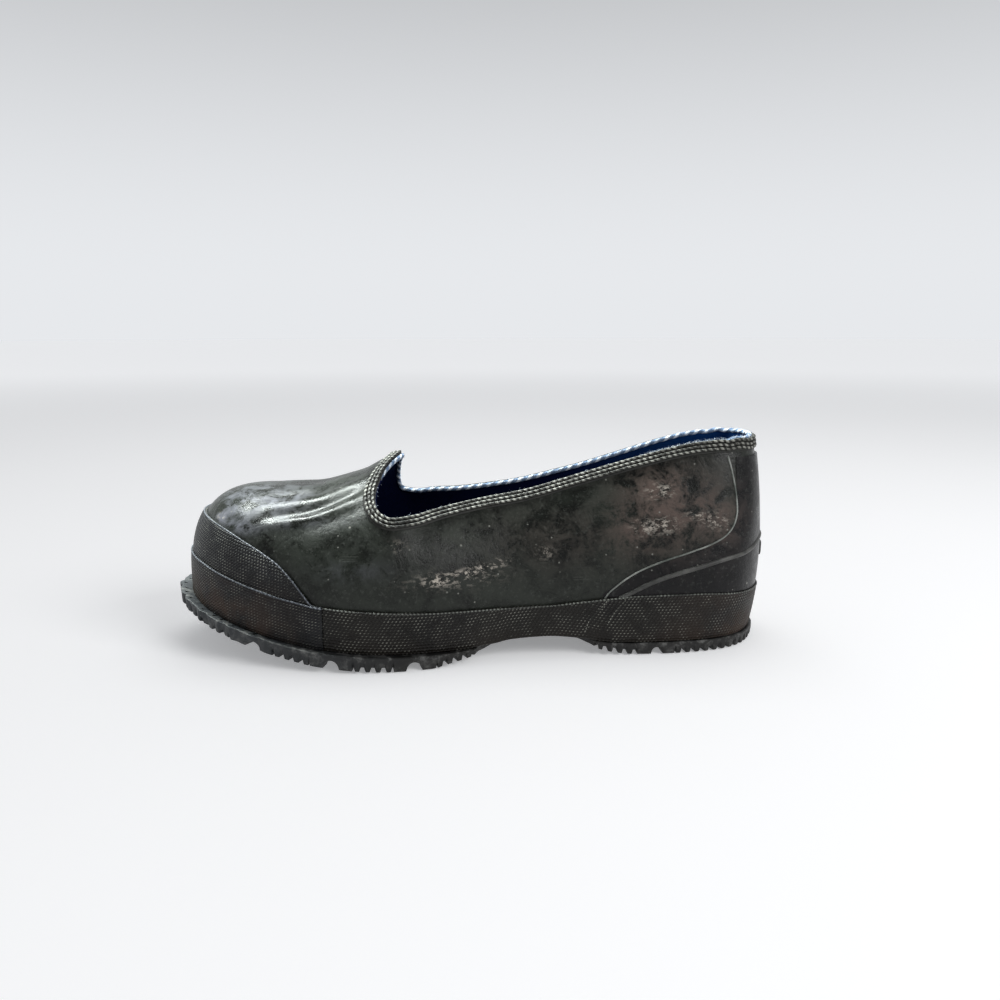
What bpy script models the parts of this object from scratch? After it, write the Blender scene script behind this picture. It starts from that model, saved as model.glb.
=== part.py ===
"""Rubber work overshoe for the left foot, a low slip-on with a raised instep.

The toe points along -X, the outer (lateral) side along -Y and +Z is up; it stands
on its tread. A station is a distance from the back of the heel. All sizes below
are in millimetres until a mesh is made.
"""

import bmesh
import bpy
import numpy as np

MM = 0.001

# Driving dimensions
MID_STATION = 154.8  # station of the middle of the overshoe's length
MID_SIDE = -1.35  # sideways place of the middle of its width
WALL = 2.2  # upper: rubber with its bonded lining
GAP = 0.3  # clearance between pieces that are cemented in the real overshoe
CURVE_GAP = 0.5  # the same under the pieces that lie on the most curved places
FOXING = 1.8  # textured band round the foot
BUMPER_LOW = 2.2  # toe bumper below its middle line
BUMPER_HIGH = 1.4  # toe bumper above its middle line
COUNTER_LOW = 1.2  # heel counter below its inner line
COUNTER_HIGH = 0.8
INSOLE = 2.0
CORD = 2.0  # diameter of each of the three cords of the collar binding
HEEL_CENTRE = 42.0  # station that the heel's sections fan out from
TOE_CENTRE = 264.0  # station that the toe's sections fan out from
FAN_SOFTNESS = 12.0  # length over which straight sections turn into fanned ones
JOINT = 227.0  # station where the foxing and the toe bumper meet
COLUMNS = 38  # columns of the upper's mesh on each side
CROWDING = 0.25  # how much closer the columns stand at toe and heel

# The last, one row for each section. Half widths are taken at the widest level,
# the crown is the height of the full section and may lie above the collar.
SECTION_COLUMNS = ("station", "lateral", "medial", "crown", "widest", "tuck", "square", "ridge")
SECTIONS = (
    (8.4, 18.0, 18.0, 183.0, 50.0, 6.0, 1.80, 0.0),
    (20.0, 31.0, 31.0, 138.0, 44.0, 4.4, 1.80, 0.0),
    (40.0, 38.0, 38.0, 122.0, 36.0, 2.4, 1.80, 0.0),
    (62.0, 40.0, 39.5, 115.5, 32.0, 1.6, 1.80, 0.0),
    (86.0, 40.5, 39.0, 107.5, 30.0, 1.3, 1.80, 0.0),
    (112.0, 41.0, 38.0, 99.5, 29.0, 1.2, 1.80, 0.5),
    (138.0, 43.0, 39.5, 93.0, 28.0, 1.2, 1.80, 1.0),
    (165.0, 50.0, 46.0, 89.5, 28.0, 1.2, 1.80, 2.0),
    (180.0, 54.0, 50.0, 91.5, 28.0, 1.3, 1.82, 2.5),
    (192.0, 56.0, 52.0, 96.9, 28.0, 1.4, 1.85, 3.0),
    (216.0, 57.0, 54.5, 87.0, 28.5, 1.6, 2.00, 3.2),
    (240.0, 52.0, 53.5, 81.3, 31.0, 1.8, 2.25, 4.0),
    (262.0, 44.0, 49.5, 81.2, 34.0, 2.0, 2.50, 5.0),
    (280.0, 33.5, 42.5, 81.2, 36.0, 2.0, 2.60, 5.5),
    (293.0, 19.5, 30.0, 81.2, 36.0, 2.0, 2.60, 5.5),
)
HEEL_BACK = (3.2, 0.0)  # station and sideways place
TOE_TIP = (301.2, 6.0)

# Levels along the foot
LEVEL_COLUMNS = ("station", "tread", "sole_top", "foxing_low", "foxing_top", "welt")
LEVELS = (
    (0.0, 0.0, 6.0, 6.3, 27.5, 1.6),
    (20.0, 0.0, 6.0, 6.3, 29.0, 1.2),
    (45.0, 0.0, 6.0, 6.3, 30.8, 1.0),
    (75.0, 0.2, 6.0, 6.3, 30.5, 1.0),
    (86.0, 1.5, 6.3, 6.6, 29.5, 1.0),
    (93.0, 3.2, 7.2, 7.5, 28.9, 0.6),
    (98.0, 5.4, 8.4, 8.7, 28.4, -2.8),
    (104.0, 8.2, 11.2, 9.4, 27.9, -2.8),
    (118.0, 10.6, 13.6, 10.6, 26.6, -2.8),
    (138.0, 9.8, 12.8, 9.8, 26.2, -2.8),
    (146.0, 7.4, 10.4, 8.4, 26.3, -2.8),
    (152.0, 4.6, 7.7, 8.0, 26.4, -2.8),
    (157.0, 3.3, 7.0, 7.3, 26.5, 1.6),
    (166.0, 1.6, 6.8, 7.1, 26.8, 2.6),
    (176.0, 0.0, 6.9, 7.2, 27.2, 3.2),
    (192.0, 0.0, 7.2, 7.5, 28.2, 3.8),
    (227.0, 2.3, 9.7, 10.0, 31.3, 3.8),
    (245.0, 5.1, 12.3, 12.6, 34.2, 3.6),
    (263.0, 9.1, 16.0, 16.3, 38.5, 3.6),
    (284.0, 15.0, 21.6, 21.9, 43.0, 4.4),
    (303.0, 21.7, 28.0, 28.3, 47.0, 6.0),
    (314.0, 25.5, 31.5, 31.8, 49.0, 6.0),
)

# The collar's edge, from the instep's peak round the throat to the heel
COLLAR_COLUMNS = ("lateral_station", "lateral_height", "medial_station", "medial_height")
COLLAR = (
    (192.3, 96.9, 192.3, 96.9),
    (198.5, 92.6, 194.4, 92.4),
    (202.3, 86.5, 195.6, 86.0),
    (203.6, 80.0, 196.0, 79.2),
    (201.6, 74.4, 195.0, 74.2),
    (195.6, 71.1, 190.6, 72.0),
    (184.0, 71.6, 181.0, 72.3),
    (165.0, 75.0, 165.0, 74.2),
    (140.0, 79.2, 140.0, 77.8),
    (118.0, 84.0, 118.0, 82.2),
    (95.0, 90.6, 95.0, 88.0),
    (70.0, 97.6, 70.0, 95.4),
    (50.0, 102.2, 50.0, 101.0),
    (36.0, 104.4, 36.0, 103.8),
    (25.0, 105.5, 25.0, 105.1),
    (16.0, 106.1, 16.0, 105.9),
    (9.0, 106.4, 9.0, 106.4),
)
COLLAR_BACK = 106.6
BACK_RUN = 120.0  # station up to which the collar climbs steadily to the heel

# The toe bumper's middle line and top edge
BUMPER_COLUMNS = ("station", "middle", "top")
BUMPER = (
    (227.0, 30.6, 31.2),
    (231.9, 31.3, 31.9),
    (236.4, 32.4, 36.8),
    (240.9, 33.3, 42.3),
    (249.0, 34.9, 50.2),
    (256.3, 36.8, 54.6),
    (264.1, 38.8, 58.3),
    (278.2, 42.8, 63.8),
    (290.0, 46.2, 66.6),
    (301.2, 48.5, 68.5),
)

# The heel counter's inner line and outer edge
COUNTER_COLUMNS = ("station", "inner", "outer")
COUNTER = (
    (3.2, 49.0, 97.0),
    (17.6, 48.6, 97.0),
    (21.5, 48.2, 65.0),
    (26.0, 47.8, 59.6),
    (42.6, 45.4, 52.8),
    (73.2, 37.0, 42.4),
    (84.0, 32.6, 36.6),
    (91.0, 30.4, 31.4),
)

# Tread: channels across the sole with a plain bar to each side, ribs between them
CHANNEL_COLUMNS = ("station", "width", "depth")
CHANNELS = ((63.5, 5.6, 3.2), (184.0, 7.6, 4.0), (224.0, 7.6, 4.0), (263.0, 7.6, 3.6))
BAR = 6.4
RIB_COLUMNS = ("start", "end", "pitch", "depth")
RIBS = ((11.0, 97.0, 4.7, 1.8), (154.0, 306.0, 5.3, 2.0))
# Ends of the flat spot that the forefoot stands on
STANCE = (176.0, 192.0)

# Plain raised pad at the back of the heel
PAD_HEIGHT = 45.5
PAD_TALL = 9.0
PAD_WIDE = 14.0
PAD_THICK = 1.2

BLACK = (0.012, 0.012, 0.013)


def column(table, columns, name):
    """One named column of a table as an array."""
    return np.array([row[columns.index(name)] for row in table], float)


def smooth(xs, ys, x):
    """Monotone cubic through (xs, ys), held level past both ends."""
    step = np.diff(xs)
    slope = np.diff(ys) / step
    first = 2.0 * step[1:] + step[:-1]
    second = step[1:] + 2.0 * step[:-1]
    safe_a = np.where(slope[:-1] == 0.0, 1.0, slope[:-1])
    safe_b = np.where(slope[1:] == 0.0, 1.0, slope[1:])
    inner = (first + second) / (first / safe_a + second / safe_b)
    inner = np.where(slope[:-1] * slope[1:] > 0.0, inner, 0.0)
    tangent = np.concatenate(([slope[0]], inner, [slope[-1]]))
    x = np.clip(np.asarray(x, float), xs[0], xs[-1])
    i = np.clip(np.searchsorted(xs, x, side="right") - 1, 0, len(step) - 1)
    t = (x - xs[i]) / step[i]
    rise = ys[i] * (2 * t**3 - 3 * t**2 + 1) + ys[i + 1] * (3 * t**2 - 2 * t**3)
    bend = tangent[i] * (t**3 - 2 * t**2 + t) + tangent[i + 1] * (t**3 - t**2)
    return rise + bend * step[i]


def read(table, columns, name, station):
    """Value of a named column at any station."""
    return smooth(column(table, columns, "station"), column(table, columns, name), station)


def section(name, station):
    return read(SECTIONS, SECTION_COLUMNS, name, station)


def level(name, station):
    return read(LEVELS, LEVEL_COLUMNS, name, station)


def closed_curve(points, count):
    """Smooth closed curve through points, as count places evenly spaced along it."""
    points = np.asarray(points, float)
    chord = np.linalg.norm(np.roll(points, -1, axis=0) - points, axis=1)
    number = len(points)
    matrix = np.zeros((number, number))
    right = np.zeros(points.shape)
    for i in range(number):
        before = chord[i - 1]
        after = chord[i]
        matrix[i, i - 1] = after
        matrix[i, i] = 2.0 * (before + after)
        matrix[i, (i + 1) % number] = before
        ahead = (points[(i + 1) % number] - points[i]) / after
        behind = (points[i] - points[i - 1]) / before
        right[i] = 3.0 * (after * behind + before * ahead)
    tangent = np.linalg.solve(matrix, right)
    dense = []
    for i in range(number):
        j = (i + 1) % number
        t = np.linspace(0.0, 1.0, 60, endpoint=False)[:, None]
        rise = points[i] * (2 * t**3 - 3 * t**2 + 1) + points[j] * (3 * t**2 - 2 * t**3)
        bend = tangent[i] * (t**3 - 2 * t**2 + t) + tangent[j] * (t**3 - t**2)
        dense.append(rise + bend * chord[i])
    dense = np.concatenate(dense)
    loop = np.vstack((dense, dense[:1]))
    length = np.concatenate(([0.0], np.cumsum(np.linalg.norm(np.diff(loop, axis=0), axis=1))))
    along = np.linspace(0.0, length[-1], count, endpoint=False)
    return np.stack([np.interp(along, length, loop[:, k]) for k in range(loop.shape[1])], axis=1)


def outline_points():
    """Widest outline: heel back, outer side, toe tip, inner side."""
    station = column(SECTIONS, SECTION_COLUMNS, "station")
    lateral = column(SECTIONS, SECTION_COLUMNS, "lateral")
    medial = column(SECTIONS, SECTION_COLUMNS, "medial")
    outer = np.stack((station, -lateral), axis=1)
    inner = np.stack((station, medial), axis=1)[::-1]
    return np.vstack(([HEEL_BACK], outer, [TOE_TIP], inner))


OUTLINE = closed_curve(outline_points(), 4000)
OUTLINE_AT = np.linspace(0.0, 1.0, 4001)
OUTLINE_LOOP = np.vstack((OUTLINE, OUTLINE[:1]))
TOE_AT = float(OUTLINE_AT[np.argmin(np.linalg.norm(OUTLINE - np.array(TOE_TIP), axis=1))])


def rim(at):
    """Point of the widest outline at a place between 0 and 1 round it."""
    at = np.mod(at, 1.0)
    station = np.interp(at, OUTLINE_AT, OUTLINE_LOOP[:, 0])
    return np.stack((station, np.interp(at, OUTLINE_AT, OUTLINE_LOOP[:, 1])), axis=-1)


def outline_at(station, side):
    """Place round the outline at a station of the outer (-1) or inner (+1) side."""
    half = OUTLINE_AT <= TOE_AT if side < 0 else OUTLINE_AT >= TOE_AT
    stations = OUTLINE_LOOP[half, 0]
    places = OUTLINE_AT[half]
    order = np.argsort(stations)
    return np.interp(station, stations[order], places[order])


def soft_step(value):
    return FAN_SOFTNESS * np.logaddexp(0.0, value / FAN_SOFTNESS)


def centre(station):
    """Point of the centre line that the section through an outline point starts at."""
    along = HEEL_CENTRE + soft_step(station - HEEL_CENTRE) - soft_step(station - TOE_CENTRE)
    return np.stack((along, section("ridge", along)), axis=-1)


def place(at, height):
    """Flat place of the point of the last at an outline place and a height."""
    point = rim(at)
    station = point[..., 0]
    crown = section("crown", station)
    widest = section("widest", station)
    power = section("square", station)
    share = np.clip((height - widest) / (crown - widest), 0.0, 1.0)
    angle = np.arcsin(share ** (power / 2.0))
    reach = np.where(height >= widest, 1.0 - angle / (np.pi / 2.0), 1.0 + (widest - height) / 60.0)
    middle = centre(station)
    return middle + (point - middle) * reach[..., None]


def locate(flat):
    """Outline place and reach of flat places, found by halving the interval."""
    toe_middle = centre(rim(TOE_AT)[..., 0])
    toe_ray = rim(TOE_AT) - toe_middle
    station = flat[..., 0]
    to_point = flat - toe_middle
    by_toe = toe_ray[0] * to_point[..., 1] - toe_ray[1] * to_point[..., 0] < 0.0
    by_ridge = flat[..., 1] < section("ridge", np.clip(station, HEEL_CENTRE, TOE_CENTRE))
    outer = np.where(station > toe_middle[0], by_toe, by_ridge)
    low = np.where(outer, 0.0, TOE_AT)
    high = np.where(outer, TOE_AT, 1.0)
    for _ in range(44):
        middle_at = (low + high) / 2.0
        point = rim(middle_at)
        middle = centre(point[..., 0])
        ray = point - middle
        off = flat - middle
        turn = ray[..., 0] * off[..., 1] - ray[..., 1] * off[..., 0]
        low = np.where(turn > 0.0, middle_at, low)
        high = np.where(turn > 0.0, high, middle_at)
    at = (low + high) / 2.0
    point = rim(at)
    middle = centre(point[..., 0])
    reach = np.linalg.norm(flat - middle, axis=-1) / np.linalg.norm(point - middle, axis=-1)
    return at, reach


def skin(flat):
    """Station, side and height of the last's surface at flat places."""
    at, reach = locate(flat)
    point = rim(at)
    station = point[..., 0]
    middle = centre(station)
    crown = section("crown", station)
    widest = section("widest", station)
    power = section("square", station)
    angle = np.clip(1.0 - reach, 0.0, 1.0) * np.pi / 2.0
    share = np.sin(angle) ** (2.0 / power)
    under = np.clip(reach - 1.0, 0.0, 1.0) * 60.0
    height = np.where(reach <= 1.0, widest + (crown - widest) * share, widest - under)
    ray = point - middle
    length = np.linalg.norm(ray, axis=-1)
    tucked = 1.0 - section("tuck", station) / length * (under / widest) ** 2
    spread = np.where(reach <= 1.0, np.cos(angle) ** (2.0 / power), tucked)
    plan = middle + ray * spread[..., None]
    return np.concatenate((plan, height[..., None]), axis=-1)


def normals(flat):
    """Outward normals of the surface, never pointing down."""
    step = 0.4
    ahead = skin(flat + np.array((step, 0.0))) - skin(flat - np.array((step, 0.0)))
    across = skin(flat + np.array((0.0, step))) - skin(flat - np.array((0.0, step)))
    normal = np.cross(ahead, across)
    normal /= np.linalg.norm(normal, axis=-1)[..., None]
    normal[..., 2] = np.maximum(normal[..., 2], 0.0)
    return normal / np.linalg.norm(normal, axis=-1)[..., None]


def offset(flat, distance):
    """Surface points moved out along the normals."""
    distance = np.broadcast_to(np.asarray(distance, float), flat.shape[:-1])
    return skin(flat) + normals(flat) * distance[..., None]


def seat(points, waist_lift=0.0):
    """Sets points down on the top of the sole, higher where the foxing hides the edge."""
    points = points.copy()
    hidden = np.clip(-level("welt", points[..., 0]), 0.0, 1.0)
    points[..., 2] = level("sole_top", points[..., 0]) + GAP + waist_lift * hidden
    return points


def spread_columns(count, start, end):
    """Places between start and end, closer together towards both."""
    t = np.linspace(0.0, 1.0, count + 1)
    t = t - CROWDING * np.sin(2.0 * np.pi * t) / (2.0 * np.pi)
    return start + (end - start) * t


def upper_columns(count=COLUMNS):
    """Outline places of the upper's columns, from the heel round the toe and back."""
    outer = spread_columns(count, 0.0, TOE_AT)[:-1]
    inner = spread_columns(count, TOE_AT, 1.0)[:-1]
    return np.concatenate((outer, inner))


def collar_curve(count=3000):
    """The collar's edge as flat places from the heel's back round the throat."""
    sides = []
    for name, side in (("lateral", -1), ("medial", 1)):
        stations = column(COLLAR, COLLAR_COLUMNS, name + "_station")[::-1]
        heights = column(COLLAR, COLLAR_COLUMNS, name + "_height")[::-1]
        places = outline_at(stations, side)
        level_run = stations < BACK_RUN
        known = np.concatenate(([0.0], np.where(side < 0, places, 1.0 - places)[level_run]))
        high = np.concatenate(([COLLAR_BACK], heights[level_run]))
        fine = np.linspace(0.0, known[-1], 22)[1:-1]
        run = place(fine if side < 0 else 1.0 - fine, smooth(known, high, fine))
        rest = np.flatnonzero(level_run)[-1]
        sides.append(np.vstack((run, place(places, heights)[rest:])))
    outer, inner = sides
    back = place(np.zeros(1), np.array([COLLAR_BACK]))
    peak = len(outer)
    points = np.vstack((back, outer, inner[::-1][1:]))
    curve = closed_curve(points, count)
    peak_at = np.argmin(np.linalg.norm(curve - points[peak], axis=1)) / count
    return curve, float(peak_at)


COLLAR_EDGE, PEAK_AT = collar_curve()

# How the columns meet the collar: outline station, then collar station along it
MATCH_COLUMNS = ("outline", "collar")
MATCH = ((40.0, 41.0), (100.0, 105.0), (140.0, 154.0), (165.0, 181.0), (190.0, 199.0))


def collar_match(columns):
    """Collar points for outline columns, spread evenly round the throat."""
    count = len(COLLAR_EDGE)
    result = np.zeros(len(columns))
    for side in (-1, 1):
        name = "lateral_station" if side < 0 else "medial_station"
        throat = column(COLLAR, COLLAR_COLUMNS, name).max()
        start, end = (0.0, PEAK_AT) if side < 0 else (1.0, PEAK_AT)
        span = np.linspace(start, end, 1500)
        stations = COLLAR_EDGE[np.int64(span * count) % count, 0]
        corner = int(np.argmax(stations))
        known_from = [0.0 if side < 0 else 1.0]
        known_to = [start]
        for outline_station, collar_station in MATCH:
            wanted = min(collar_station, throat - 0.4)
            known_from.append(float(outline_at(outline_station, side)))
            known_to.append(float(np.interp(wanted, stations[:corner], span[:corner])))
        known_from.append(TOE_AT)
        known_to.append(end)
        known_from = np.array(known_from)
        known_to = np.array(known_to)
        if side > 0:
            known_from = known_from[::-1]
            known_to = known_to[::-1]
        mine = columns < TOE_AT if side < 0 else columns >= TOE_AT
        result[mine] = smooth(known_from, known_to, columns[mine])
    whole = np.vstack((COLLAR_EDGE, COLLAR_EDGE[:1]))
    grid = np.linspace(0.0, 1.0, count + 1)
    return np.stack([np.interp(result, grid, whole[:, k]) for k in range(2)], axis=1)


def rubber(name, colour=BLACK, roughness=0.42):
    material = bpy.data.materials.new(name)
    material.use_nodes = True
    shader = material.node_tree.nodes["Principled BSDF"]
    shader.inputs["Base Color"].default_value = (*colour, 1.0)
    shader.inputs["Roughness"].default_value = roughness
    return material


def make(name, points, faces, material):
    """One closed body from points in station, side and height."""
    points = np.asarray(points, float)
    x = (MID_STATION - points[:, 0]) * MM
    y = (points[:, 1] - MID_SIDE) * MM
    z = points[:, 2] * MM
    mesh = bpy.data.meshes.new(name)
    mesh.from_pydata(np.stack((x, y, z), axis=1).tolist(), [], faces)
    body = bmesh.new()
    body.from_mesh(mesh)
    bmesh.ops.recalc_face_normals(body, faces=body.faces)
    body.to_mesh(mesh)
    body.free()
    item = bpy.data.objects.new(name, mesh)
    item.data.materials.append(material)
    overshoe.objects.link(item)
    return item


def shell(name, outer, inner, ring, material):
    """Closed sheet between two grids of columns and rows."""
    columns, rows = outer.shape[:2]
    points = np.vstack((outer.reshape(-1, 3), inner.reshape(-1, 3)))
    shift = columns * rows
    faces = []
    last = columns if ring else columns - 1
    for i in range(last):
        j = (i + 1) % columns
        for k in range(rows - 1):
            a, b = i * rows + k, j * rows + k
            faces.append((a, b, b + 1, a + 1))
            faces.append((a + shift, a + 1 + shift, b + 1 + shift, b + shift))
        for k in (0, rows - 1):
            a, b = i * rows + k, j * rows + k
            faces.append((a, a + shift, b + shift, b))
    if not ring:
        for i in (0, columns - 1):
            for k in range(rows - 1):
                a = i * rows + k
                faces.append((a, a + 1, a + 1 + shift, a + shift))
    return make(name, points, faces, material)


def loft(name, sections, material, ring=False):
    """Closed body through sections that have the same number of points."""
    count, size = sections.shape[:2]
    points = sections.reshape(-1, 3)
    faces = []
    last = count if ring else count - 1
    for i in range(last):
        j = (i + 1) % count
        for k in range(size):
            n = (k + 1) % size
            faces.append((i * size + k, j * size + k, j * size + n, i * size + n))
    if not ring:
        faces.append(tuple(range(size)))
        faces.append(tuple(range((count - 1) * size, count * size))[::-1])
    return make(name, points, faces, material)


def upper_grid(columns, low_rows, high_rows, power=1.25):
    """Flat places of the upper from the sole to the collar."""
    station = rim(columns)[:, 0]
    low = level("sole_top", station) + GAP
    forward = station > JOINT
    top = np.where(forward, read(BUMPER, BUMPER_COLUMNS, "top", station), level("foxing_top", station))
    lower = [place(columns, low + (top - low) * t) for t in np.linspace(0.0, 1.0, low_rows + 1)]
    edge = collar_match(columns)
    share = np.linspace(0.0, 1.0, high_rows + 1)[1:] ** power
    higher = [lower[-1] + (edge - lower[-1]) * t for t in share]
    return np.stack(lower + higher, axis=1)


def build_upper(material):
    flat = upper_grid(upper_columns(), 4, 10)
    outer = skin(flat)
    inner = offset(flat, -WALL)
    outer[:, 0] = seat(outer[:, 0], 0.8)
    inner[:, 0] = seat(inner[:, 0], 0.8)
    return shell("upper", outer, inner, True, material)


def strip_columns(start, end, count=COLUMNS):
    """Columns of the upper between two places, with one at each of them."""
    columns = upper_columns(count)
    columns = np.concatenate((columns - 1.0, columns, columns + 1.0))
    spare = 0.002
    inside = columns[(columns > start + spare) & (columns < end - spare)]
    return np.concatenate(([start], inside, [end]))


def add_columns(columns, stations):
    """Adds columns at stations of both sides in place of any that stand close by."""
    extra = [float(outline_at(s, -1)) for s in stations]
    extra += [float(outline_at(s, 1)) - 1.0 for s in stations]
    extra = np.array([place_at for place_at in extra if columns[0] < place_at < columns[-1]])
    keep = np.array([np.min(np.abs(extra - c)) > 0.0012 for c in columns])
    keep[[0, -1]] = True
    return np.sort(np.concatenate((columns[keep], extra)))


def band(name, columns, heights, thickness, base, seated, material):
    """Sheet laid on the upper: heights and thickness hold a row for each level."""
    flats = np.stack([place(np.mod(columns, 1.0), height) for height in heights], axis=1)
    outer = offset(flats, base + np.stack(thickness, axis=1))
    inner = offset(flats, np.full(flats.shape[:2], base))
    if seated is not None:
        for grid in (outer, inner):
            lower = seat(grid[:, 0])
            grid[:, 0, 2] = np.where(seated, lower[:, 2], grid[:, 0, 2])
    return shell(name, outer, inner, False, material)


def build_foxing(material):
    perimeter = 760.0
    trim = GAP / 2.0 / perimeter
    start = float(outline_at(JOINT, 1)) + trim - 1.0
    end = float(outline_at(JOINT, -1)) - trim
    columns = strip_columns(start, end)
    bends = [s for s in column(LEVELS, LEVEL_COLUMNS, "station") if 80.0 < s < 180.0]
    columns = add_columns(columns, bends)
    station = rim(columns)[:, 0]
    low = level("foxing_low", station)
    top = level("foxing_top", station)
    heights = (low, low + (top - low) * 0.5, top - 1.0, top)
    full = np.full(len(columns), FOXING)
    seated = level("welt", station) > -FOXING - GAP - 0.3
    return band("foxing", columns, heights, (full, full, full, full * 0.6), GAP, seated, material)


def build_bumper(material):
    perimeter = 760.0
    trim = GAP / 2.0 / perimeter
    start = float(outline_at(JOINT, -1)) + trim
    end = float(outline_at(JOINT, 1)) - trim
    columns = strip_columns(start, end)
    station = rim(columns)[:, 0]
    low = level("foxing_low", station)
    middle = read(BUMPER, BUMPER_COLUMNS, "middle", station)
    top = read(BUMPER, BUMPER_COLUMNS, "top", station)
    upper_part = top - middle
    heights = [low, middle - 0.6, middle + 0.15 * np.minimum(upper_part, 4.0)]
    heights += [middle + upper_part * 0.55, top - 0.15 * np.minimum(upper_part, 6.0), top]
    ones = np.ones(len(columns))
    thickness = [ones * BUMPER_LOW, ones * BUMPER_LOW, ones * BUMPER_HIGH]
    thickness += [ones * BUMPER_HIGH, ones * BUMPER_HIGH, ones * BUMPER_HIGH * 0.55]
    seated = np.ones(len(columns), bool)
    return band("toe_bumper", columns, heights, thickness, GAP, seated, material)


def build_counter(material):
    stations = column(COUNTER, COUNTER_COLUMNS, "station")
    start = float(outline_at(stations[-1], 1)) - 1.0
    columns = strip_columns(start, float(outline_at(stations[-1], -1)))
    columns = add_columns(columns, (17.6, 19.6, 21.5))
    station = rim(columns)[:, 0]
    low = level("foxing_top", station) + 2.0 * GAP
    middle = np.maximum(read(COUNTER, COUNTER_COLUMNS, "inner", station), low + 0.4)
    top = np.interp(station, stations, column(COUNTER, COUNTER_COLUMNS, "outer"))
    top = np.maximum(top, middle + 0.5)
    heights = [low, (low + middle) * 0.5, middle - 0.3]
    heights += [middle + (top - middle) * t for t in (0.0, 0.25, 0.5, 0.75, 1.0)]
    ones = np.ones(len(columns))
    thickness = [ones * COUNTER_LOW] * 3 + [ones * COUNTER_HIGH] * 5
    return band("heel_counter", columns, heights, thickness, CURVE_GAP, None, material)


def collar_walk(columns, distances):
    """Flat places down the outside of the upper from the collar's edge."""
    edge = collar_match(columns)
    ahead = np.roll(edge, -1, axis=0) - np.roll(edge, 1, axis=0)
    away = np.stack((-ahead[:, 1], ahead[:, 0]), axis=1)
    away /= np.linalg.norm(away, axis=1)[:, None]
    outward = np.sum(away * (place(columns, np.full(len(columns), 60.0)) - edge), axis=1)
    away *= np.sign(np.median(outward))
    flat = edge
    travelled = 0.0
    results = []
    for distance in distances:
        piece = (distance - travelled) / 3.0
        for _ in range(3):
            scale = np.linalg.norm(skin(flat + away * 0.2) - skin(flat), axis=1) / 0.2
            flat = flat + away * (piece / scale)[:, None]
        travelled = distance
        results.append(flat)
    return results


def build_binding(material):
    columns = upper_columns()
    wide = 3.0 * CORD
    top = 0.25
    profile = []
    for cord in range(3):
        start = top + cord * CORD
        profile += [(start, 0.45), (start + 0.28 * CORD, 0.95), (start + 0.72 * CORD, 0.95)]
    profile.append((top + wide, 0.45))
    flats = collar_walk(columns, [across for across, _ in profile])
    outer = [offset(flat, CURVE_GAP + CORD * lift) for flat, (_, lift) in zip(flats, profile)]
    below = [offset(flats[k], CURVE_GAP) for k in (-1, len(flats) // 2, 0)]
    sections = np.stack(outer + below, axis=1)
    return loft("collar_binding", sections, material, ring=True)


def build_pad(material):
    """Small plain pad on the counter at the back of the heel."""
    half = PAD_WIDE / 2.0 / 760.0
    columns = np.linspace(-half, half, 5)
    shrink = np.array((0.6, 0.92, 1.0, 0.92, 0.6))
    heights = [PAD_HEIGHT + PAD_TALL / 2.0 * t * shrink for t in (-1.0, -0.6, 0.6, 1.0)]
    thick = [np.full(5, PAD_THICK * t) for t in (0.6, 1.0, 1.0, 0.6)]
    base = CURVE_GAP + COUNTER_LOW + GAP
    return band("heel_pad", columns, heights, thick, base, None, material)


def sole_outline(distance_name, fixed=None, count=1200, height_shift=0.0):
    """Plan outline of a level piece, as stations and sides."""
    at = np.linspace(0.0, 1.0, count, endpoint=False)
    station = rim(at)[:, 0]
    height = level("sole_top", station) + height_shift
    flat = place(at, height)
    out = normals(flat)
    out[:, 2] = 0.0
    out /= np.linalg.norm(out, axis=1)[:, None]
    if fixed is None:
        toe = np.clip((station - JOINT) / 4.0, 0.0, 1.0)
        base = GAP + FOXING + (BUMPER_LOW - FOXING) * toe
        reach = base + level(distance_name, station)
    else:
        reach = np.full(count, fixed)
    plan = (skin(flat) + out * reach[:, None])[:, :2]
    return plan


def widths(plan, stations):
    """Outer and inner sides of a plan outline at given stations."""
    toe = int(np.argmax(plan[:, 0]))
    heel = int(np.argmin(plan[:, 0]))
    count = len(plan)
    forward = [plan[i % count] for i in range(heel, heel + (toe - heel) % count + 1)]
    back = [plan[i % count] for i in range(toe, toe + (heel - toe) % count + 1)]
    forward = np.array(forward)
    back = np.array(back)[::-1]
    outer = np.interp(stations, np.maximum.accumulate(forward[:, 0]), forward[:, 1])
    inner = np.interp(stations, np.maximum.accumulate(back[:, 0]), back[:, 1])
    return outer, inner


def end_stations(plan, stations, count=7):
    """Adds stations that close both rounded ends of a plan outline."""
    start = plan[:, 0].min()
    end = plan[:, 0].max()
    depth = 26.0
    ease = 1.0 - np.cos(np.linspace(0.06, 1.0, count) * np.pi / 2.0)
    ends = np.concatenate((start + depth * ease, end - depth * ease))
    middle = [s for s in stations if start + 0.6 < s < end - 0.6]
    merged = sorted([*ends, *middle])
    kept = [merged[0]]
    for value in merged[1:]:
        if value - kept[-1] > 0.35 or value in middle:
            if value - kept[-1] > 0.05:
                kept.append(value)
    return np.array(kept)


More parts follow.
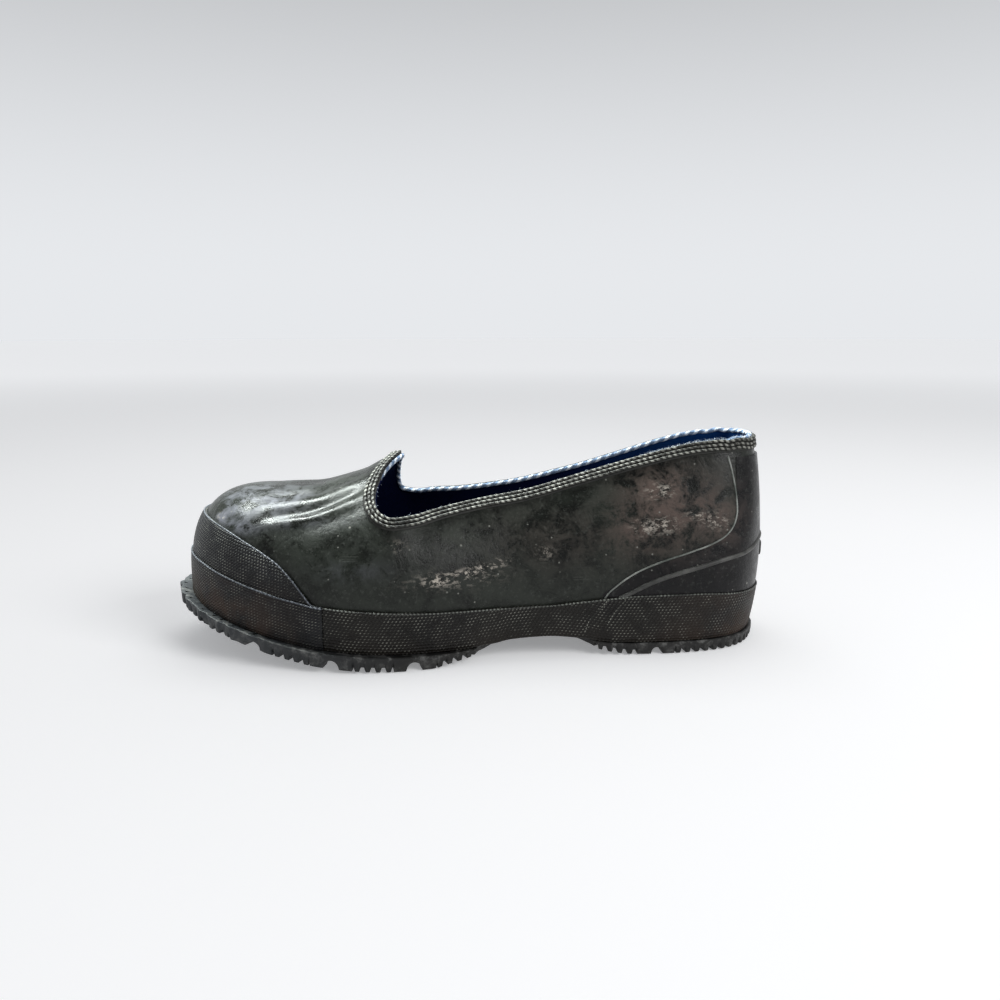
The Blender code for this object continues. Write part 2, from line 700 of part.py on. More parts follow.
def tread_profile():
    """Stations and groove depths of the tread, in order along the foot."""
    profile = []
    blocked = []
    for station, width, depth in CHANNELS:
        half = width / 2.0
        blocked.append((station - half - BAR, station + half + BAR))
        profile += [(station - half - 0.05, 0.0), (station - half + 0.35, depth * 0.55)]
        profile += [(station - half * 0.45, depth * 0.93), (station, depth)]
        profile += [(station + half * 0.45, depth * 0.93)]
        profile += [(station + half - 0.35, depth * 0.55), (station + half + 0.05, 0.0)]
    for start, end, pitch, depth in RIBS:
        station = start
        while station < end:
            groove = (station + pitch * 0.5, station + pitch)
            clear = all(groove[1] < low or groove[0] > high for low, high in blocked)
            if clear:
                profile += [(groove[0], 0.0), (groove[0] + pitch * 0.25, depth), (groove[1], 0.0)]
            station += pitch
    profile.sort()
    return np.array(profile)


def build_outsole(material):
    plan = sole_outline("welt")
    profile = tread_profile()
    plain = np.arange(84.0, 172.0, 3.0)
    stations = end_stations(plan, [*profile[:, 0], *plain, *STANCE])
    depth = np.interp(stations, profile[:, 0], profile[:, 1])
    outer, inner = widths(plan, stations)
    tread = level("tread", stations)
    rear = plan[:, 0].min()
    tread = tread + 2.6 * np.clip(1.0 - (stations - rear) / 7.0, 0.0, 1.0) ** 2
    low = np.minimum(tread + depth, level("sole_top", stations) - 2.4)
    top = level("sole_top", stations)
    half = (inner - outer) / 2.0
    draft = np.minimum(0.9, half * 0.3)
    rise = np.minimum(low + 1.6, top - 0.8)
    rows = []
    for side, height in ((outer + draft, low), (outer, rise), (outer, top), (inner, top)):
        rows.append(np.stack((stations, side, height), axis=1))
    for side, height in ((inner, rise), (inner - draft, low)):
        rows.append(np.stack((stations, side, height), axis=1))
    return loft("outsole", np.stack(rows, axis=1), material)


def build_insole(material):
    plan = sole_outline("welt", fixed=-WALL - 2.0 * GAP, height_shift=1.0)
    plain = [*np.arange(24.0, 88.0, 8.0), *np.arange(88.0, 160.0, 4.0), *np.arange(160.0, 290.0, 9.0)]
    stations = end_stations(plan, plain)
    outer, inner = widths(plan, stations)
    low = level("sole_top", stations) + GAP
    rows = []
    for side, lift in ((outer, 0.0), (outer, INSOLE), (inner, INSOLE), (inner, 0.0)):
        rows.append(np.stack((stations, side, low + lift), axis=1))
    return loft("insole", np.stack(rows, axis=1), material)


for old in list(bpy.data.objects):
    bpy.data.objects.remove(old, do_unlink=True)

overshoe = bpy.data.collections.new("rubber_overshoe")
bpy.context.scene.collection.children.link(overshoe)

build_upper(rubber("upper_rubber"))
build_outsole(rubber("outsole_rubber", (0.03, 0.03, 0.031), 0.6))
build_insole(rubber("insole_fabric", (0.02, 0.03, 0.09), 0.9))
build_foxing(rubber("foxing_rubber", BLACK, 0.5))
build_bumper(rubber("bumper_rubber", BLACK, 0.5))
build_counter(rubber("counter_rubber"))
build_binding(rubber("binding_rubber", BLACK, 0.55))
build_pad(rubber("pad_rubber", BLACK, 0.5))
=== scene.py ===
"""Looks of the left rubber overshoe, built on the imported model.

The toe points along -X, the outer side along -Y. A station is a distance from the
back of the heel. Sizes are in millimetres until a mesh is made.
"""

import math

import bmesh
import bpy
import numpy as np
from mathutils import Matrix, Vector

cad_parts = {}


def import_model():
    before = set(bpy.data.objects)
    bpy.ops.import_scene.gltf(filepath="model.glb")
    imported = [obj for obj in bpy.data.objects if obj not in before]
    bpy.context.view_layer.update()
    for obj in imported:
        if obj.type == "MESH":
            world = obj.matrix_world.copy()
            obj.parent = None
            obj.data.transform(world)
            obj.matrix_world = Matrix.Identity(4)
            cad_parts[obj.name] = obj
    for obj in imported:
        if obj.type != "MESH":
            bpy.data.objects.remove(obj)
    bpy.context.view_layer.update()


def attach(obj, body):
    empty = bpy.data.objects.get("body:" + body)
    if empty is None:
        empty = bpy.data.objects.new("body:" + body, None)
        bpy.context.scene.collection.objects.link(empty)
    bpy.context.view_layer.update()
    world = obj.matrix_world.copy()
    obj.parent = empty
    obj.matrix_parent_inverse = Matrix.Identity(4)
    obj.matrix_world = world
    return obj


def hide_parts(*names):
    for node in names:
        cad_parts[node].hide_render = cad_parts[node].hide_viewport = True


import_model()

MM = 0.001

# Driving dimensions
MID_STATION = 154.8  # station of the middle of the overshoe's length
MID_SIDE = -1.35  # sideways place of the middle of its width
WALL = 2.2  # upper: rubber with its bonded lining
GAP = 0.3  # clearance between pieces that are cemented in the real overshoe
FOXING = 1.8  # textured band round the foot
BUMPER_LOW = 2.2  # toe bumper below its middle line
BUMPER_HIGH = 1.4  # toe bumper above its middle line
INSOLE = 2.0
CORD = 2.0  # diameter of each of the three cords of the collar binding
HEEL_CENTRE = 42.0  # station that the heel's sections fan out from
TOE_CENTRE = 264.0  # station that the toe's sections fan out from
FAN_SOFTNESS = 12.0  # length over which straight sections turn into fanned ones
JOINT = 227.0  # station where the foxing and the toe bumper meet
CROWDING = 0.25  # how much closer the columns stand at toe and heel

# The last, one row for each section. Half widths are taken at the widest level,
# the crown is the height of the full section and may lie above the collar.
SECTION_COLUMNS = ("station", "lateral", "medial", "crown", "widest", "tuck", "square", "ridge")
SECTIONS = (
    (8.4, 18.0, 18.0, 183.0, 50.0, 6.0, 1.80, 0.0),
    (20.0, 31.0, 31.0, 138.0, 44.0, 4.4, 1.80, 0.0),
    (40.0, 38.0, 38.0, 122.0, 36.0, 2.4, 1.80, 0.0),
    (62.0, 40.0, 39.5, 115.5, 32.0, 1.6, 1.80, 0.0),
    (86.0, 40.5, 39.0, 107.5, 30.0, 1.3, 1.80, 0.0),
    (112.0, 41.0, 38.0, 99.5, 29.0, 1.2, 1.80, 0.5),
    (138.0, 43.0, 39.5, 93.0, 28.0, 1.2, 1.80, 1.0),
    (165.0, 50.0, 46.0, 89.5, 28.0, 1.2, 1.80, 2.0),
    (180.0, 54.0, 50.0, 91.5, 28.0, 1.3, 1.82, 2.5),
    (192.0, 56.0, 52.0, 96.9, 28.0, 1.4, 1.85, 3.0),
    (216.0, 57.0, 54.5, 87.0, 28.5, 1.6, 2.00, 3.2),
    (240.0, 52.0, 53.5, 81.3, 31.0, 1.8, 2.25, 4.0),
    (262.0, 44.0, 49.5, 81.2, 34.0, 2.0, 2.50, 5.0),
    (280.0, 33.5, 42.5, 81.2, 36.0, 2.0, 2.60, 5.5),
    (293.0, 19.5, 30.0, 81.2, 36.0, 2.0, 2.60, 5.5),
)
HEEL_BACK = (3.2, 0.0)  # station and sideways place
TOE_TIP = (301.2, 6.0)

# Levels along the foot
LEVEL_COLUMNS = ("station", "tread", "sole_top", "foxing_low", "foxing_top", "welt")
LEVELS = (
    (0.0, 0.0, 6.0, 6.3, 27.5, 1.6),
    (20.0, 0.0, 6.0, 6.3, 29.0, 1.2),
    (45.0, 0.0, 6.0, 6.3, 30.8, 1.0),
    (75.0, 0.2, 6.0, 6.3, 30.5, 1.0),
    (86.0, 1.5, 6.3, 6.6, 29.5, 1.0),
    (93.0, 3.2, 7.2, 7.5, 28.9, 0.6),
    (98.0, 5.4, 8.4, 8.7, 28.4, -2.8),
    (104.0, 8.2, 11.2, 9.4, 27.9, -2.8),
    (118.0, 10.6, 13.6, 10.6, 26.6, -2.8),
    (138.0, 9.8, 12.8, 9.8, 26.2, -2.8),
    (146.0, 7.4, 10.4, 8.4, 26.3, -2.8),
    (152.0, 4.6, 7.7, 8.0, 26.4, -2.8),
    (157.0, 3.3, 7.0, 7.3, 26.5, 1.6),
    (166.0, 1.6, 6.8, 7.1, 26.8, 2.6),
    (176.0, 0.0, 6.9, 7.2, 27.2, 3.2),
    (192.0, 0.0, 7.2, 7.5, 28.2, 3.8),
    (227.0, 2.3, 9.7, 10.0, 31.3, 3.8),
    (245.0, 5.1, 12.3, 12.6, 34.2, 3.6),
    (263.0, 9.1, 16.0, 16.3, 38.5, 3.6),
    (284.0, 15.0, 21.6, 21.9, 43.0, 4.4),
    (303.0, 21.7, 28.0, 28.3, 47.0, 6.0),
    (314.0, 25.5, 31.5, 31.8, 49.0, 6.0),
)

# The collar's edge, from the instep's peak round the throat to the heel
COLLAR_COLUMNS = ("lateral_station", "lateral_height", "medial_station", "medial_height")
COLLAR = (
    (192.3, 96.9, 192.3, 96.9),
    (198.5, 92.6, 194.4, 92.4),
    (202.3, 86.5, 195.6, 86.0),
    (203.6, 80.0, 196.0, 79.2),
    (201.6, 74.4, 195.0, 74.2),
    (195.6, 71.1, 190.6, 72.0),
    (184.0, 71.6, 181.0, 72.3),
    (165.0, 75.0, 165.0, 74.2),
    (140.0, 79.2, 140.0, 77.8),
    (118.0, 84.0, 118.0, 82.2),
    (95.0, 90.6, 95.0, 88.0),
    (70.0, 97.6, 70.0, 95.4),
    (50.0, 102.2, 50.0, 101.0),
    (36.0, 104.4, 36.0, 103.8),
    (25.0, 105.5, 25.0, 105.1),
    (16.0, 106.1, 16.0, 105.9),
    (9.0, 106.4, 9.0, 106.4),
)
COLLAR_BACK = 106.6
BACK_RUN = 120.0  # station up to which the collar climbs steadily to the heel

# The toe bumper's middle line and top edge
BUMPER_COLUMNS = ("station", "middle", "top")
BUMPER = (
    (227.0, 30.6, 31.2),
    (231.9, 31.3, 31.9),
    (236.4, 32.4, 36.8),
    (240.9, 33.3, 42.3),
    (249.0, 34.9, 50.2),
    (256.3, 36.8, 54.6),
    (264.1, 38.8, 58.3),
    (278.2, 42.8, 63.8),
    (290.0, 46.2, 66.6),
    (301.2, 48.5, 68.5),
)

# The heel counter's inner line and outer edge
COUNTER_COLUMNS = ("station", "inner", "outer")
COUNTER = (
    (3.2, 49.0, 97.0),
    (17.6, 48.6, 97.0),
    (21.5, 48.2, 65.0),
    (26.0, 47.8, 59.6),
    (42.6, 45.4, 52.8),
    (73.2, 37.0, 42.4),
    (84.0, 32.6, 36.6),
    (91.0, 30.4, 31.4),
)

# Tread: channels across the sole with a plain bar to each side, ribs between them
CHANNELS = ((63.5, 5.6, 3.2), (184.0, 7.6, 4.0), (224.0, 7.6, 4.0), (263.0, 7.6, 3.6))
BAR = 6.4
RIBS = ((11.0, 97.0, 4.7, 1.8), (154.0, 306.0, 5.3, 2.0))

# Plain raised pad at the back of the heel
PAD_HEIGHT = 45.5
PAD_TALL = 9.0
PAD_WIDE = 14.0
PAD_THICK = 1.2


def lengths_along(points):
    """Running length along a line of points, from 0."""
    steps = np.linalg.norm(np.diff(points, axis=0), axis=1)
    return np.concatenate(([0.0], np.cumsum(steps)))


def unit(vectors):
    """The same directions with length 1."""
    return vectors / np.linalg.norm(vectors, axis=-1, keepdims=True)


def eased(share):
    """A share from 0 to 1 with soft ends."""
    return share * share * (3.0 - 2.0 * share)


def column(table, columns, name):
    """One named column of a table as an array."""
    return np.array([row[columns.index(name)] for row in table], float)


def smooth(xs, ys, x):
    """Monotone cubic through (xs, ys), held level past both ends."""
    step = np.diff(xs)
    slope = np.diff(ys) / step
    first = 2.0 * step[1:] + step[:-1]
    second = step[1:] + 2.0 * step[:-1]
    safe_a = np.where(slope[:-1] == 0.0, 1.0, slope[:-1])
    safe_b = np.where(slope[1:] == 0.0, 1.0, slope[1:])
    inner = (first + second) / (first / safe_a + second / safe_b)
    inner = np.where(slope[:-1] * slope[1:] > 0.0, inner, 0.0)
    tangent = np.concatenate(([slope[0]], inner, [slope[-1]]))
    x = np.clip(np.asarray(x, float), xs[0], xs[-1])
    i = np.clip(np.searchsorted(xs, x, side="right") - 1, 0, len(step) - 1)
    t = (x - xs[i]) / step[i]
    rise = ys[i] * (2 * t**3 - 3 * t**2 + 1) + ys[i + 1] * (3 * t**2 - 2 * t**3)
    bend = tangent[i] * (t**3 - 2 * t**2 + t) + tangent[i + 1] * (t**3 - t**2)
    return rise + bend * step[i]


def read(table, columns, name, station):
    """Value of a named column at any station."""
    return smooth(column(table, columns, "station"), column(table, columns, name), station)


def section(name, station):
    return read(SECTIONS, SECTION_COLUMNS, name, station)


def level(name, station):
    return read(LEVELS, LEVEL_COLUMNS, name, station)


def closed_curve(points, count):
    """Smooth closed curve through points, as count places evenly spaced along it."""
    points = np.asarray(points, float)
    chord = np.linalg.norm(np.roll(points, -1, axis=0) - points, axis=1)
    number = len(points)
    matrix = np.zeros((number, number))
    right = np.zeros(points.shape)
    for i in range(number):
        before = chord[i - 1]
        after = chord[i]
        matrix[i, i - 1] = after
        matrix[i, i] = 2.0 * (before + after)
        matrix[i, (i + 1) % number] = before
        ahead = (points[(i + 1) % number] - points[i]) / after
        behind = (points[i] - points[i - 1]) / before
        right[i] = 3.0 * (after * behind + before * ahead)
    tangent = np.linalg.solve(matrix, right)
    dense = []
    for i in range(number):
        j = (i + 1) % number
        t = np.linspace(0.0, 1.0, 60, endpoint=False)[:, None]
        rise = points[i] * (2 * t**3 - 3 * t**2 + 1) + points[j] * (3 * t**2 - 2 * t**3)
        bend = tangent[i] * (t**3 - 2 * t**2 + t) + tangent[j] * (t**3 - t**2)
        dense.append(rise + bend * chord[i])
    dense = np.concatenate(dense)
    loop = np.vstack((dense, dense[:1]))
    length = lengths_along(loop)
    along = np.linspace(0.0, length[-1], count, endpoint=False)
    return np.stack([np.interp(along, length, loop[:, k]) for k in range(loop.shape[1])], axis=1)


def outline_points():
    """Widest outline: heel back, outer side, toe tip, inner side."""
    station = column(SECTIONS, SECTION_COLUMNS, "station")
    lateral = column(SECTIONS, SECTION_COLUMNS, "lateral")
    medial = column(SECTIONS, SECTION_COLUMNS, "medial")
    outer = np.stack((station, -lateral), axis=1)
    inner = np.stack((station, medial), axis=1)[::-1]
    return np.vstack(([HEEL_BACK], outer, [TOE_TIP], inner))


OUTLINE = closed_curve(outline_points(), 4000)
OUTLINE_AT = np.linspace(0.0, 1.0, 4001)
OUTLINE_LOOP = np.vstack((OUTLINE, OUTLINE[:1]))
TOE_AT = float(OUTLINE_AT[np.argmin(np.linalg.norm(OUTLINE - np.array(TOE_TIP), axis=1))])


def rim(at):
    """Point of the widest outline at a place between 0 and 1 round it."""
    at = np.mod(at, 1.0)
    station = np.interp(at, OUTLINE_AT, OUTLINE_LOOP[:, 0])
    return np.stack((station, np.interp(at, OUTLINE_AT, OUTLINE_LOOP[:, 1])), axis=-1)


def outline_at(station, side):
    """Place round the outline at a station of the outer (-1) or inner (+1) side."""
    half = OUTLINE_AT <= TOE_AT if side < 0 else OUTLINE_AT >= TOE_AT
    stations = OUTLINE_LOOP[half, 0]
    places = OUTLINE_AT[half]
    order = np.argsort(stations)
    return np.interp(station, stations[order], places[order])


def soft_step(value):
    return FAN_SOFTNESS * np.logaddexp(0.0, value / FAN_SOFTNESS)


def centre(station):
    """Point of the centre line that the section through an outline point starts at."""
    along = HEEL_CENTRE + soft_step(station - HEEL_CENTRE) - soft_step(station - TOE_CENTRE)
    return np.stack((along, section("ridge", along)), axis=-1)


def place(at, height):
    """Flat place of the point of the last at an outline place and a height."""
    point = rim(at)
    station = point[..., 0]
    crown = section("crown", station)
    widest = section("widest", station)
    power = section("square", station)
    share = np.clip((height - widest) / (crown - widest), 0.0, 1.0)
    angle = np.arcsin(share ** (power / 2.0))
    reach = np.where(height >= widest, 1.0 - angle / (np.pi / 2.0), 1.0 + (widest - height) / 60.0)
    middle = centre(station)
    return middle + (point - middle) * reach[..., None]


def locate(flat):
    """Outline place and reach of flat places, found by halving the interval."""
    toe_middle = centre(rim(TOE_AT)[..., 0])
    toe_ray = rim(TOE_AT) - toe_middle
    station = flat[..., 0]
    to_point = flat - toe_middle
    by_toe = toe_ray[0] * to_point[..., 1] - toe_ray[1] * to_point[..., 0] < 0.0
    by_ridge = flat[..., 1] < section("ridge", np.clip(station, HEEL_CENTRE, TOE_CENTRE))
    outer = np.where(station > toe_middle[0], by_toe, by_ridge)
    low = np.where(outer, 0.0, TOE_AT)
    high = np.where(outer, TOE_AT, 1.0)
    for _ in range(44):
        middle_at = (low + high) / 2.0
        point = rim(middle_at)
        middle = centre(point[..., 0])
        ray = point - middle
        off = flat - middle
        turn = ray[..., 0] * off[..., 1] - ray[..., 1] * off[..., 0]
        low = np.where(turn > 0.0, middle_at, low)
        high = np.where(turn > 0.0, high, middle_at)
    at = (low + high) / 2.0
    point = rim(at)
    middle = centre(point[..., 0])
    reach = np.linalg.norm(flat - middle, axis=-1) / np.linalg.norm(point - middle, axis=-1)
    return at, reach


def skin(flat):
    """Station, side and height of the last's surface at flat places."""
    at, reach = locate(flat)
    point = rim(at)
    station = point[..., 0]
    middle = centre(station)
    crown = section("crown", station)
    widest = section("widest", station)
    power = section("square", station)
    angle = np.clip(1.0 - reach, 0.0, 1.0) * np.pi / 2.0
    share = np.sin(angle) ** (2.0 / power)
    under = np.clip(reach - 1.0, 0.0, 1.0) * 60.0
    height = np.where(reach <= 1.0, widest + (crown - widest) * share, widest - under)
    ray = point - middle
    length = np.linalg.norm(ray, axis=-1)
    tucked = 1.0 - section("tuck", station) / length * (under / widest) ** 2
    spread = np.where(reach <= 1.0, np.cos(angle) ** (2.0 / power), tucked)
    plan = middle + ray * spread[..., None]
    return np.concatenate((plan, height[..., None]), axis=-1)


def normals(flat):
    """Outward normals of the surface, never pointing down."""
    step = 0.4
    ahead = skin(flat + np.array((step, 0.0))) - skin(flat - np.array((step, 0.0)))
    across = skin(flat + np.array((0.0, step))) - skin(flat - np.array((0.0, step)))
    normal = np.cross(ahead, across)
    normal = unit(normal)
    normal[..., 2] = np.maximum(normal[..., 2], 0.0)
    return normal / np.linalg.norm(normal, axis=-1)[..., None]


def level_normals(flat):
    """Outward directions of flat places, kept level."""
    out = normals(flat)
    out[:, 2] = 0.0
    return unit(out)


def seat(points, waist_lift=0.0):
    """Sets points down on the top of the sole, higher where the foxing hides the edge."""
    points = points.copy()
    hidden = np.clip(-level("welt", points[..., 0]), 0.0, 1.0)
    points[..., 2] = level("sole_top", points[..., 0]) + GAP + waist_lift * hidden
    return points


def spread_columns(count, start, end):
    """Places between start and end, closer together towards both."""
    t = np.linspace(0.0, 1.0, count + 1)
    t = t - CROWDING * np.sin(2.0 * np.pi * t) / (2.0 * np.pi)
    return start + (end - start) * t


def upper_columns(count):
    """Outline places of the upper's columns, from the heel round the toe and back."""
    outer = spread_columns(count, 0.0, TOE_AT)[:-1]
    inner = spread_columns(count, TOE_AT, 1.0)[:-1]
    return np.concatenate((outer, inner))


def collar_curve(count=3000):
    """The collar's edge as flat places from the heel's back round the throat."""
    sides = []
    for name, side in (("lateral", -1), ("medial", 1)):
        stations = column(COLLAR, COLLAR_COLUMNS, name + "_station")[::-1]
        heights = column(COLLAR, COLLAR_COLUMNS, name + "_height")[::-1]
        places = outline_at(stations, side)
        level_run = stations < BACK_RUN
        known = np.concatenate(([0.0], np.where(side < 0, places, 1.0 - places)[level_run]))
        high = np.concatenate(([COLLAR_BACK], heights[level_run]))
        fine = np.linspace(0.0, known[-1], 22)[1:-1]
        run = place(fine if side < 0 else 1.0 - fine, smooth(known, high, fine))
        rest = np.flatnonzero(level_run)[-1]
        sides.append(np.vstack((run, place(places, heights)[rest:])))
    outer, inner = sides
    back = place(np.zeros(1), np.array([COLLAR_BACK]))
    peak = len(outer)
    points = np.vstack((back, outer, inner[::-1][1:]))
    curve = closed_curve(points, count)
    peak_at = np.argmin(np.linalg.norm(curve - points[peak], axis=1)) / count
    return curve, float(peak_at)


COLLAR_EDGE, PEAK_AT = collar_curve()

# How the columns meet the collar: outline station, then collar station along it
MATCH = ((40.0, 41.0), (100.0, 105.0), (140.0, 154.0), (165.0, 181.0), (190.0, 199.0))


def collar_match(columns):
    """Collar points for outline columns, spread evenly round the throat."""
    count = len(COLLAR_EDGE)
    result = np.zeros(len(columns))
    for side in (-1, 1):
        name = "lateral_station" if side < 0 else "medial_station"
        throat = column(COLLAR, COLLAR_COLUMNS, name).max()
        start, end = (0.0, PEAK_AT) if side < 0 else (1.0, PEAK_AT)
        span = np.linspace(start, end, 1500)
        stations = COLLAR_EDGE[np.int64(span * count) % count, 0]
        corner = int(np.argmax(stations))
        known_from = [0.0 if side < 0 else 1.0]
        known_to = [start]
        for outline_station, collar_station in MATCH:
            wanted = min(collar_station, throat - 0.4)
            known_from.append(float(outline_at(outline_station, side)))
            known_to.append(float(np.interp(wanted, stations[:corner], span[:corner])))
        known_from.append(TOE_AT)
        known_to.append(end)
        known_from = np.array(known_from)
        known_to = np.array(known_to)
        if side > 0:
            known_from = known_from[::-1]
            known_to = known_to[::-1]
        mine = columns < TOE_AT if side < 0 else columns >= TOE_AT
        result[mine] = smooth(known_from, known_to, columns[mine])
    whole = np.vstack((COLLAR_EDGE, COLLAR_EDGE[:1]))
    grid = np.linspace(0.0, 1.0, count + 1)
    return np.stack([np.interp(result, grid, whole[:, k]) for k in range(2)], axis=1)


def upper_grid(columns, low_rows, high_rows, power):
    """Flat places of the upper from the sole to the collar."""
    station = rim(columns)[:, 0]
    low = level("sole_top", station) + GAP
    forward = station > JOINT
    top = np.where(forward, read(BUMPER, BUMPER_COLUMNS, "top", station), level("foxing_top", station))
    lower = [place(columns, low + (top - low) * t) for t in np.linspace(0.0, 1.0, low_rows + 1)]
    edge = collar_match(columns)
    share = np.linspace(0.0, 1.0, high_rows + 1)[1:] ** power
    higher = [lower[-1] + (edge - lower[-1]) * t for t in share]
    return np.stack(lower + higher, axis=1)


def widths(plan, stations):
    """Outer and inner sides of a plan outline at given stations."""
    toe = int(np.argmax(plan[:, 0]))
    heel = int(np.argmin(plan[:, 0]))
    count = len(plan)
    forward = [plan[i % count] for i in range(heel, heel + (toe - heel) % count + 1)]
    back = [plan[i % count] for i in range(toe, toe + (heel - toe) % count + 1)]
    forward = np.array(forward)
    back = np.array(back)[::-1]
    outer = np.interp(stations, np.maximum.accumulate(forward[:, 0]), forward[:, 1])
    inner = np.interp(stations, np.maximum.accumulate(back[:, 0]), back[:, 1])
    return outer, inner


def end_stations(plan, stations, count):
    """Adds stations that close both rounded ends of a plan outline."""
    start = plan[:, 0].min()
    end = plan[:, 0].max()
    depth = 26.0
    ease = 1.0 - np.cos(np.linspace(0.06, 1.0, count) * np.pi / 2.0)
    ends = np.concatenate((start + depth * ease, end - depth * ease))
    middle = [s for s in stations if start + 0.6 < s < end - 0.6]
    merged = sorted([*ends, *middle])
    kept = [merged[0]]
    for value in merged[1:]:
        if value - kept[-1] > 0.35 or value in middle:
            if value - kept[-1] > 0.05:
                kept.append(value)
    return np.array(kept)


def tread_profile():
    """Stations and groove depths of the tread, in order along the foot."""
    profile = []
    blocked = []
    for station, width, depth in CHANNELS:
        half = width / 2.0
        blocked.append((station - half - BAR, station + half + BAR))
        profile += [(station - half - 0.05, 0.0), (station - half + 0.35, depth * 0.55)]
        profile += [(station - half * 0.45, depth * 0.93), (station, depth)]
        profile += [(station + half * 0.45, depth * 0.93)]
        profile += [(station + half - 0.35, depth * 0.55), (station + half + 0.05, 0.0)]
    for start, end, pitch, depth in RIBS:
        station = start
        while station < end:
            groove = (station + pitch * 0.5, station + pitch)
            clear = all(groove[1] < low or groove[0] > high for low, high in blocked)
            if clear:
                profile += [(groove[0], 0.0), (groove[0] + pitch * 0.25, depth), (groove[1], 0.0)]
            station += pitch
    profile.sort()
    return np.array(profile)


# Extra sizes of the visible pieces
RIND = 1.3  # rubber of the upper without its lining
BEAD = 0.42  # radius of the thin raised lines
TOOTH = 5.0  # pitch of the teeth round the sole's edge
CORD_DASH = 3.0  # pitch of the pale dashes of the collar's cords
FIBRES = 2600  # loose fibres of the lining's edge
TWIST = 5.6  # pitch of the pale twists of the lining's edge
FLOOR_REACH = 12.0  # radius of the floor in metres
WAIST_LIFT = 0.8  # how far the upper's lowest row is lifted at the waist
ROW_CROWDING = 1.12  # how much closer the upper's rows stand low down
UPPER_COLUMNS = 180  # columns of the visible upper on each side
LINING_COLUMNS = 90
FOXING_COLUMNS = 430
WRAP_COLUMNS = 330  # columns of the toe bumper
OVERLAY_COLUMNS = 260  # columns of the heel counter
PAD_COLUMNS = 31
SOLE_COLUMNS = 1900
INSOLE_COLUMNS = 360
OUTLINE_LENGTH = 760.0  # rough length round the shoe, for the pad's width
TOE_LUMPS = ((0.42, 67.0, 0.0), (0.32, 109.0, 1.0))  # height, number round the shoe, shift

# Camera of the photograph
FOCAL_PIXELS = 934.5
IMAGE_PIXELS = 1000.0
SENSOR = 36.0
YAW, PITCH, ROLL = 0.044, 0.184, 0.002
EYE = (-0.0059, -0.4857, 0.1623)  # metres from EYE_STATION, the middle and the floor
EYE_STATION = 156.0


def world(points):
    """Scene places in metres of points in station, side and height."""
    points = np.asarray(points, float)
    x = (MID_STATION - points[..., 0]) * MM
    y = (points[..., 1] - MID_SIDE) * MM
    return np.stack((x, y, points[..., 2] * MM), axis=-1)


def mesh_piece(name, points, faces, uvs, material, node_name, sharp=50.0):
    """A smooth piece from points, faces and one UV pair for each face corner."""
    mesh = bpy.data.meshes.new(name)
    mesh.from_pydata(world(points).tolist(), [], faces)
    if uvs is not None:
        layer = mesh.uv_layers.new(name="UVMap")
        layer.data.foreach_set("uv", np.asarray(uvs, np.float32).reshape(-1))
    mesh.polygons.foreach_set("use_smooth", [True] * len(mesh.polygons))
    mesh.set_sharp_from_angle(angle=math.radians(sharp))
    mesh.update()
    item = bpy.data.objects.new(name, mesh)
    bpy.context.scene.collection.objects.link(item)
    item.data.materials.append(material)
    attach(item, "root")
    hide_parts(node_name)
    return item


def face_outward(item):
    """Turns all faces of a closed piece outward."""
    body = bmesh.new()
    body.from_mesh(item.data)
    bmesh.ops.recalc_face_normals(body, faces=body.faces)
    body.to_mesh(item.data)
    body.free()


def grid_faces(columns, rows, ring, shift=0, flip=False):
    """Faces of a grid of points, with the column and row of each corner."""
    faces = []
    corners = []
    last = columns if ring else columns - 1
    for i in range(last):
        j = (i + 1) % columns
        for k in range(rows - 1):
            a = shift + i * rows + k
            b = shift + j * rows + k
            face = [a, b, b + 1, a + 1]
            corner = [(i, k), (i + 1, k), (i + 1, k + 1), (i, k + 1)]
            if flip:
                face.reverse()
                corner.reverse()
            faces.append(face)
            corners += corner
    return faces, corners


def sheet_piece(name, outer, inner, ring, material, node_name):
    """Closed sheet between two grids, with UVs in millimetres on both."""
    along, up = grid_uvs(outer, ring)
    columns, rows = outer.shape[:2]
    shift = columns * rows
    outer_faces, corners = grid_faces(columns, rows, ring)
    inner_faces, inner_corners = grid_faces(columns, rows, ring, shift, True)
    faces = outer_faces + inner_faces
    corners = corners + inner_corners
    last = columns if ring else columns - 1
    for i in range(last):
        j = (i + 1) % columns
        for k in (0, rows - 1):
            a, b = i * rows + k, j * rows + k
            face = [a, a + shift, b + shift, b]
            corner = [(i, k), (i, k), (i + 1, k), (i + 1, k)]
            if k:
                face.reverse()
                corner.reverse()
            faces.append(face)
            corners += corner
    if not ring:
        for i in (0, columns - 1):
            for k in range(rows - 1):
                a = i * rows + k
                face = [a, a + 1, a + 1 + shift, a + shift]
                corner = [(i, k), (i, k + 1), (i, k + 1), (i, k)]
                if i:
                    face.reverse()
                    corner.reverse()
                faces.append(face)
                corners += corner
    corners = np.array(corners)
    uvs = np.stack(
        (along[corners[:, 0], corners[:, 1]], up[np.minimum(corners[:, 0], len(up) - 1), corners[:, 1]]),
        axis=1,
    )
    points = np.vstack((outer.reshape(-1, 3), inner.reshape(-1, 3)))
    return mesh_piece(name, points, faces, uvs, material, node_name)


def run_lengths(points, axis):
    """Running length along one axis of a grid of points."""
    step = np.linalg.norm(np.diff(points, axis=axis), axis=-1)
    pad = [(0, 0), (0, 0)]
    pad[axis] = (1, 0)
    return np.cumsum(np.pad(step, pad), axis=axis)


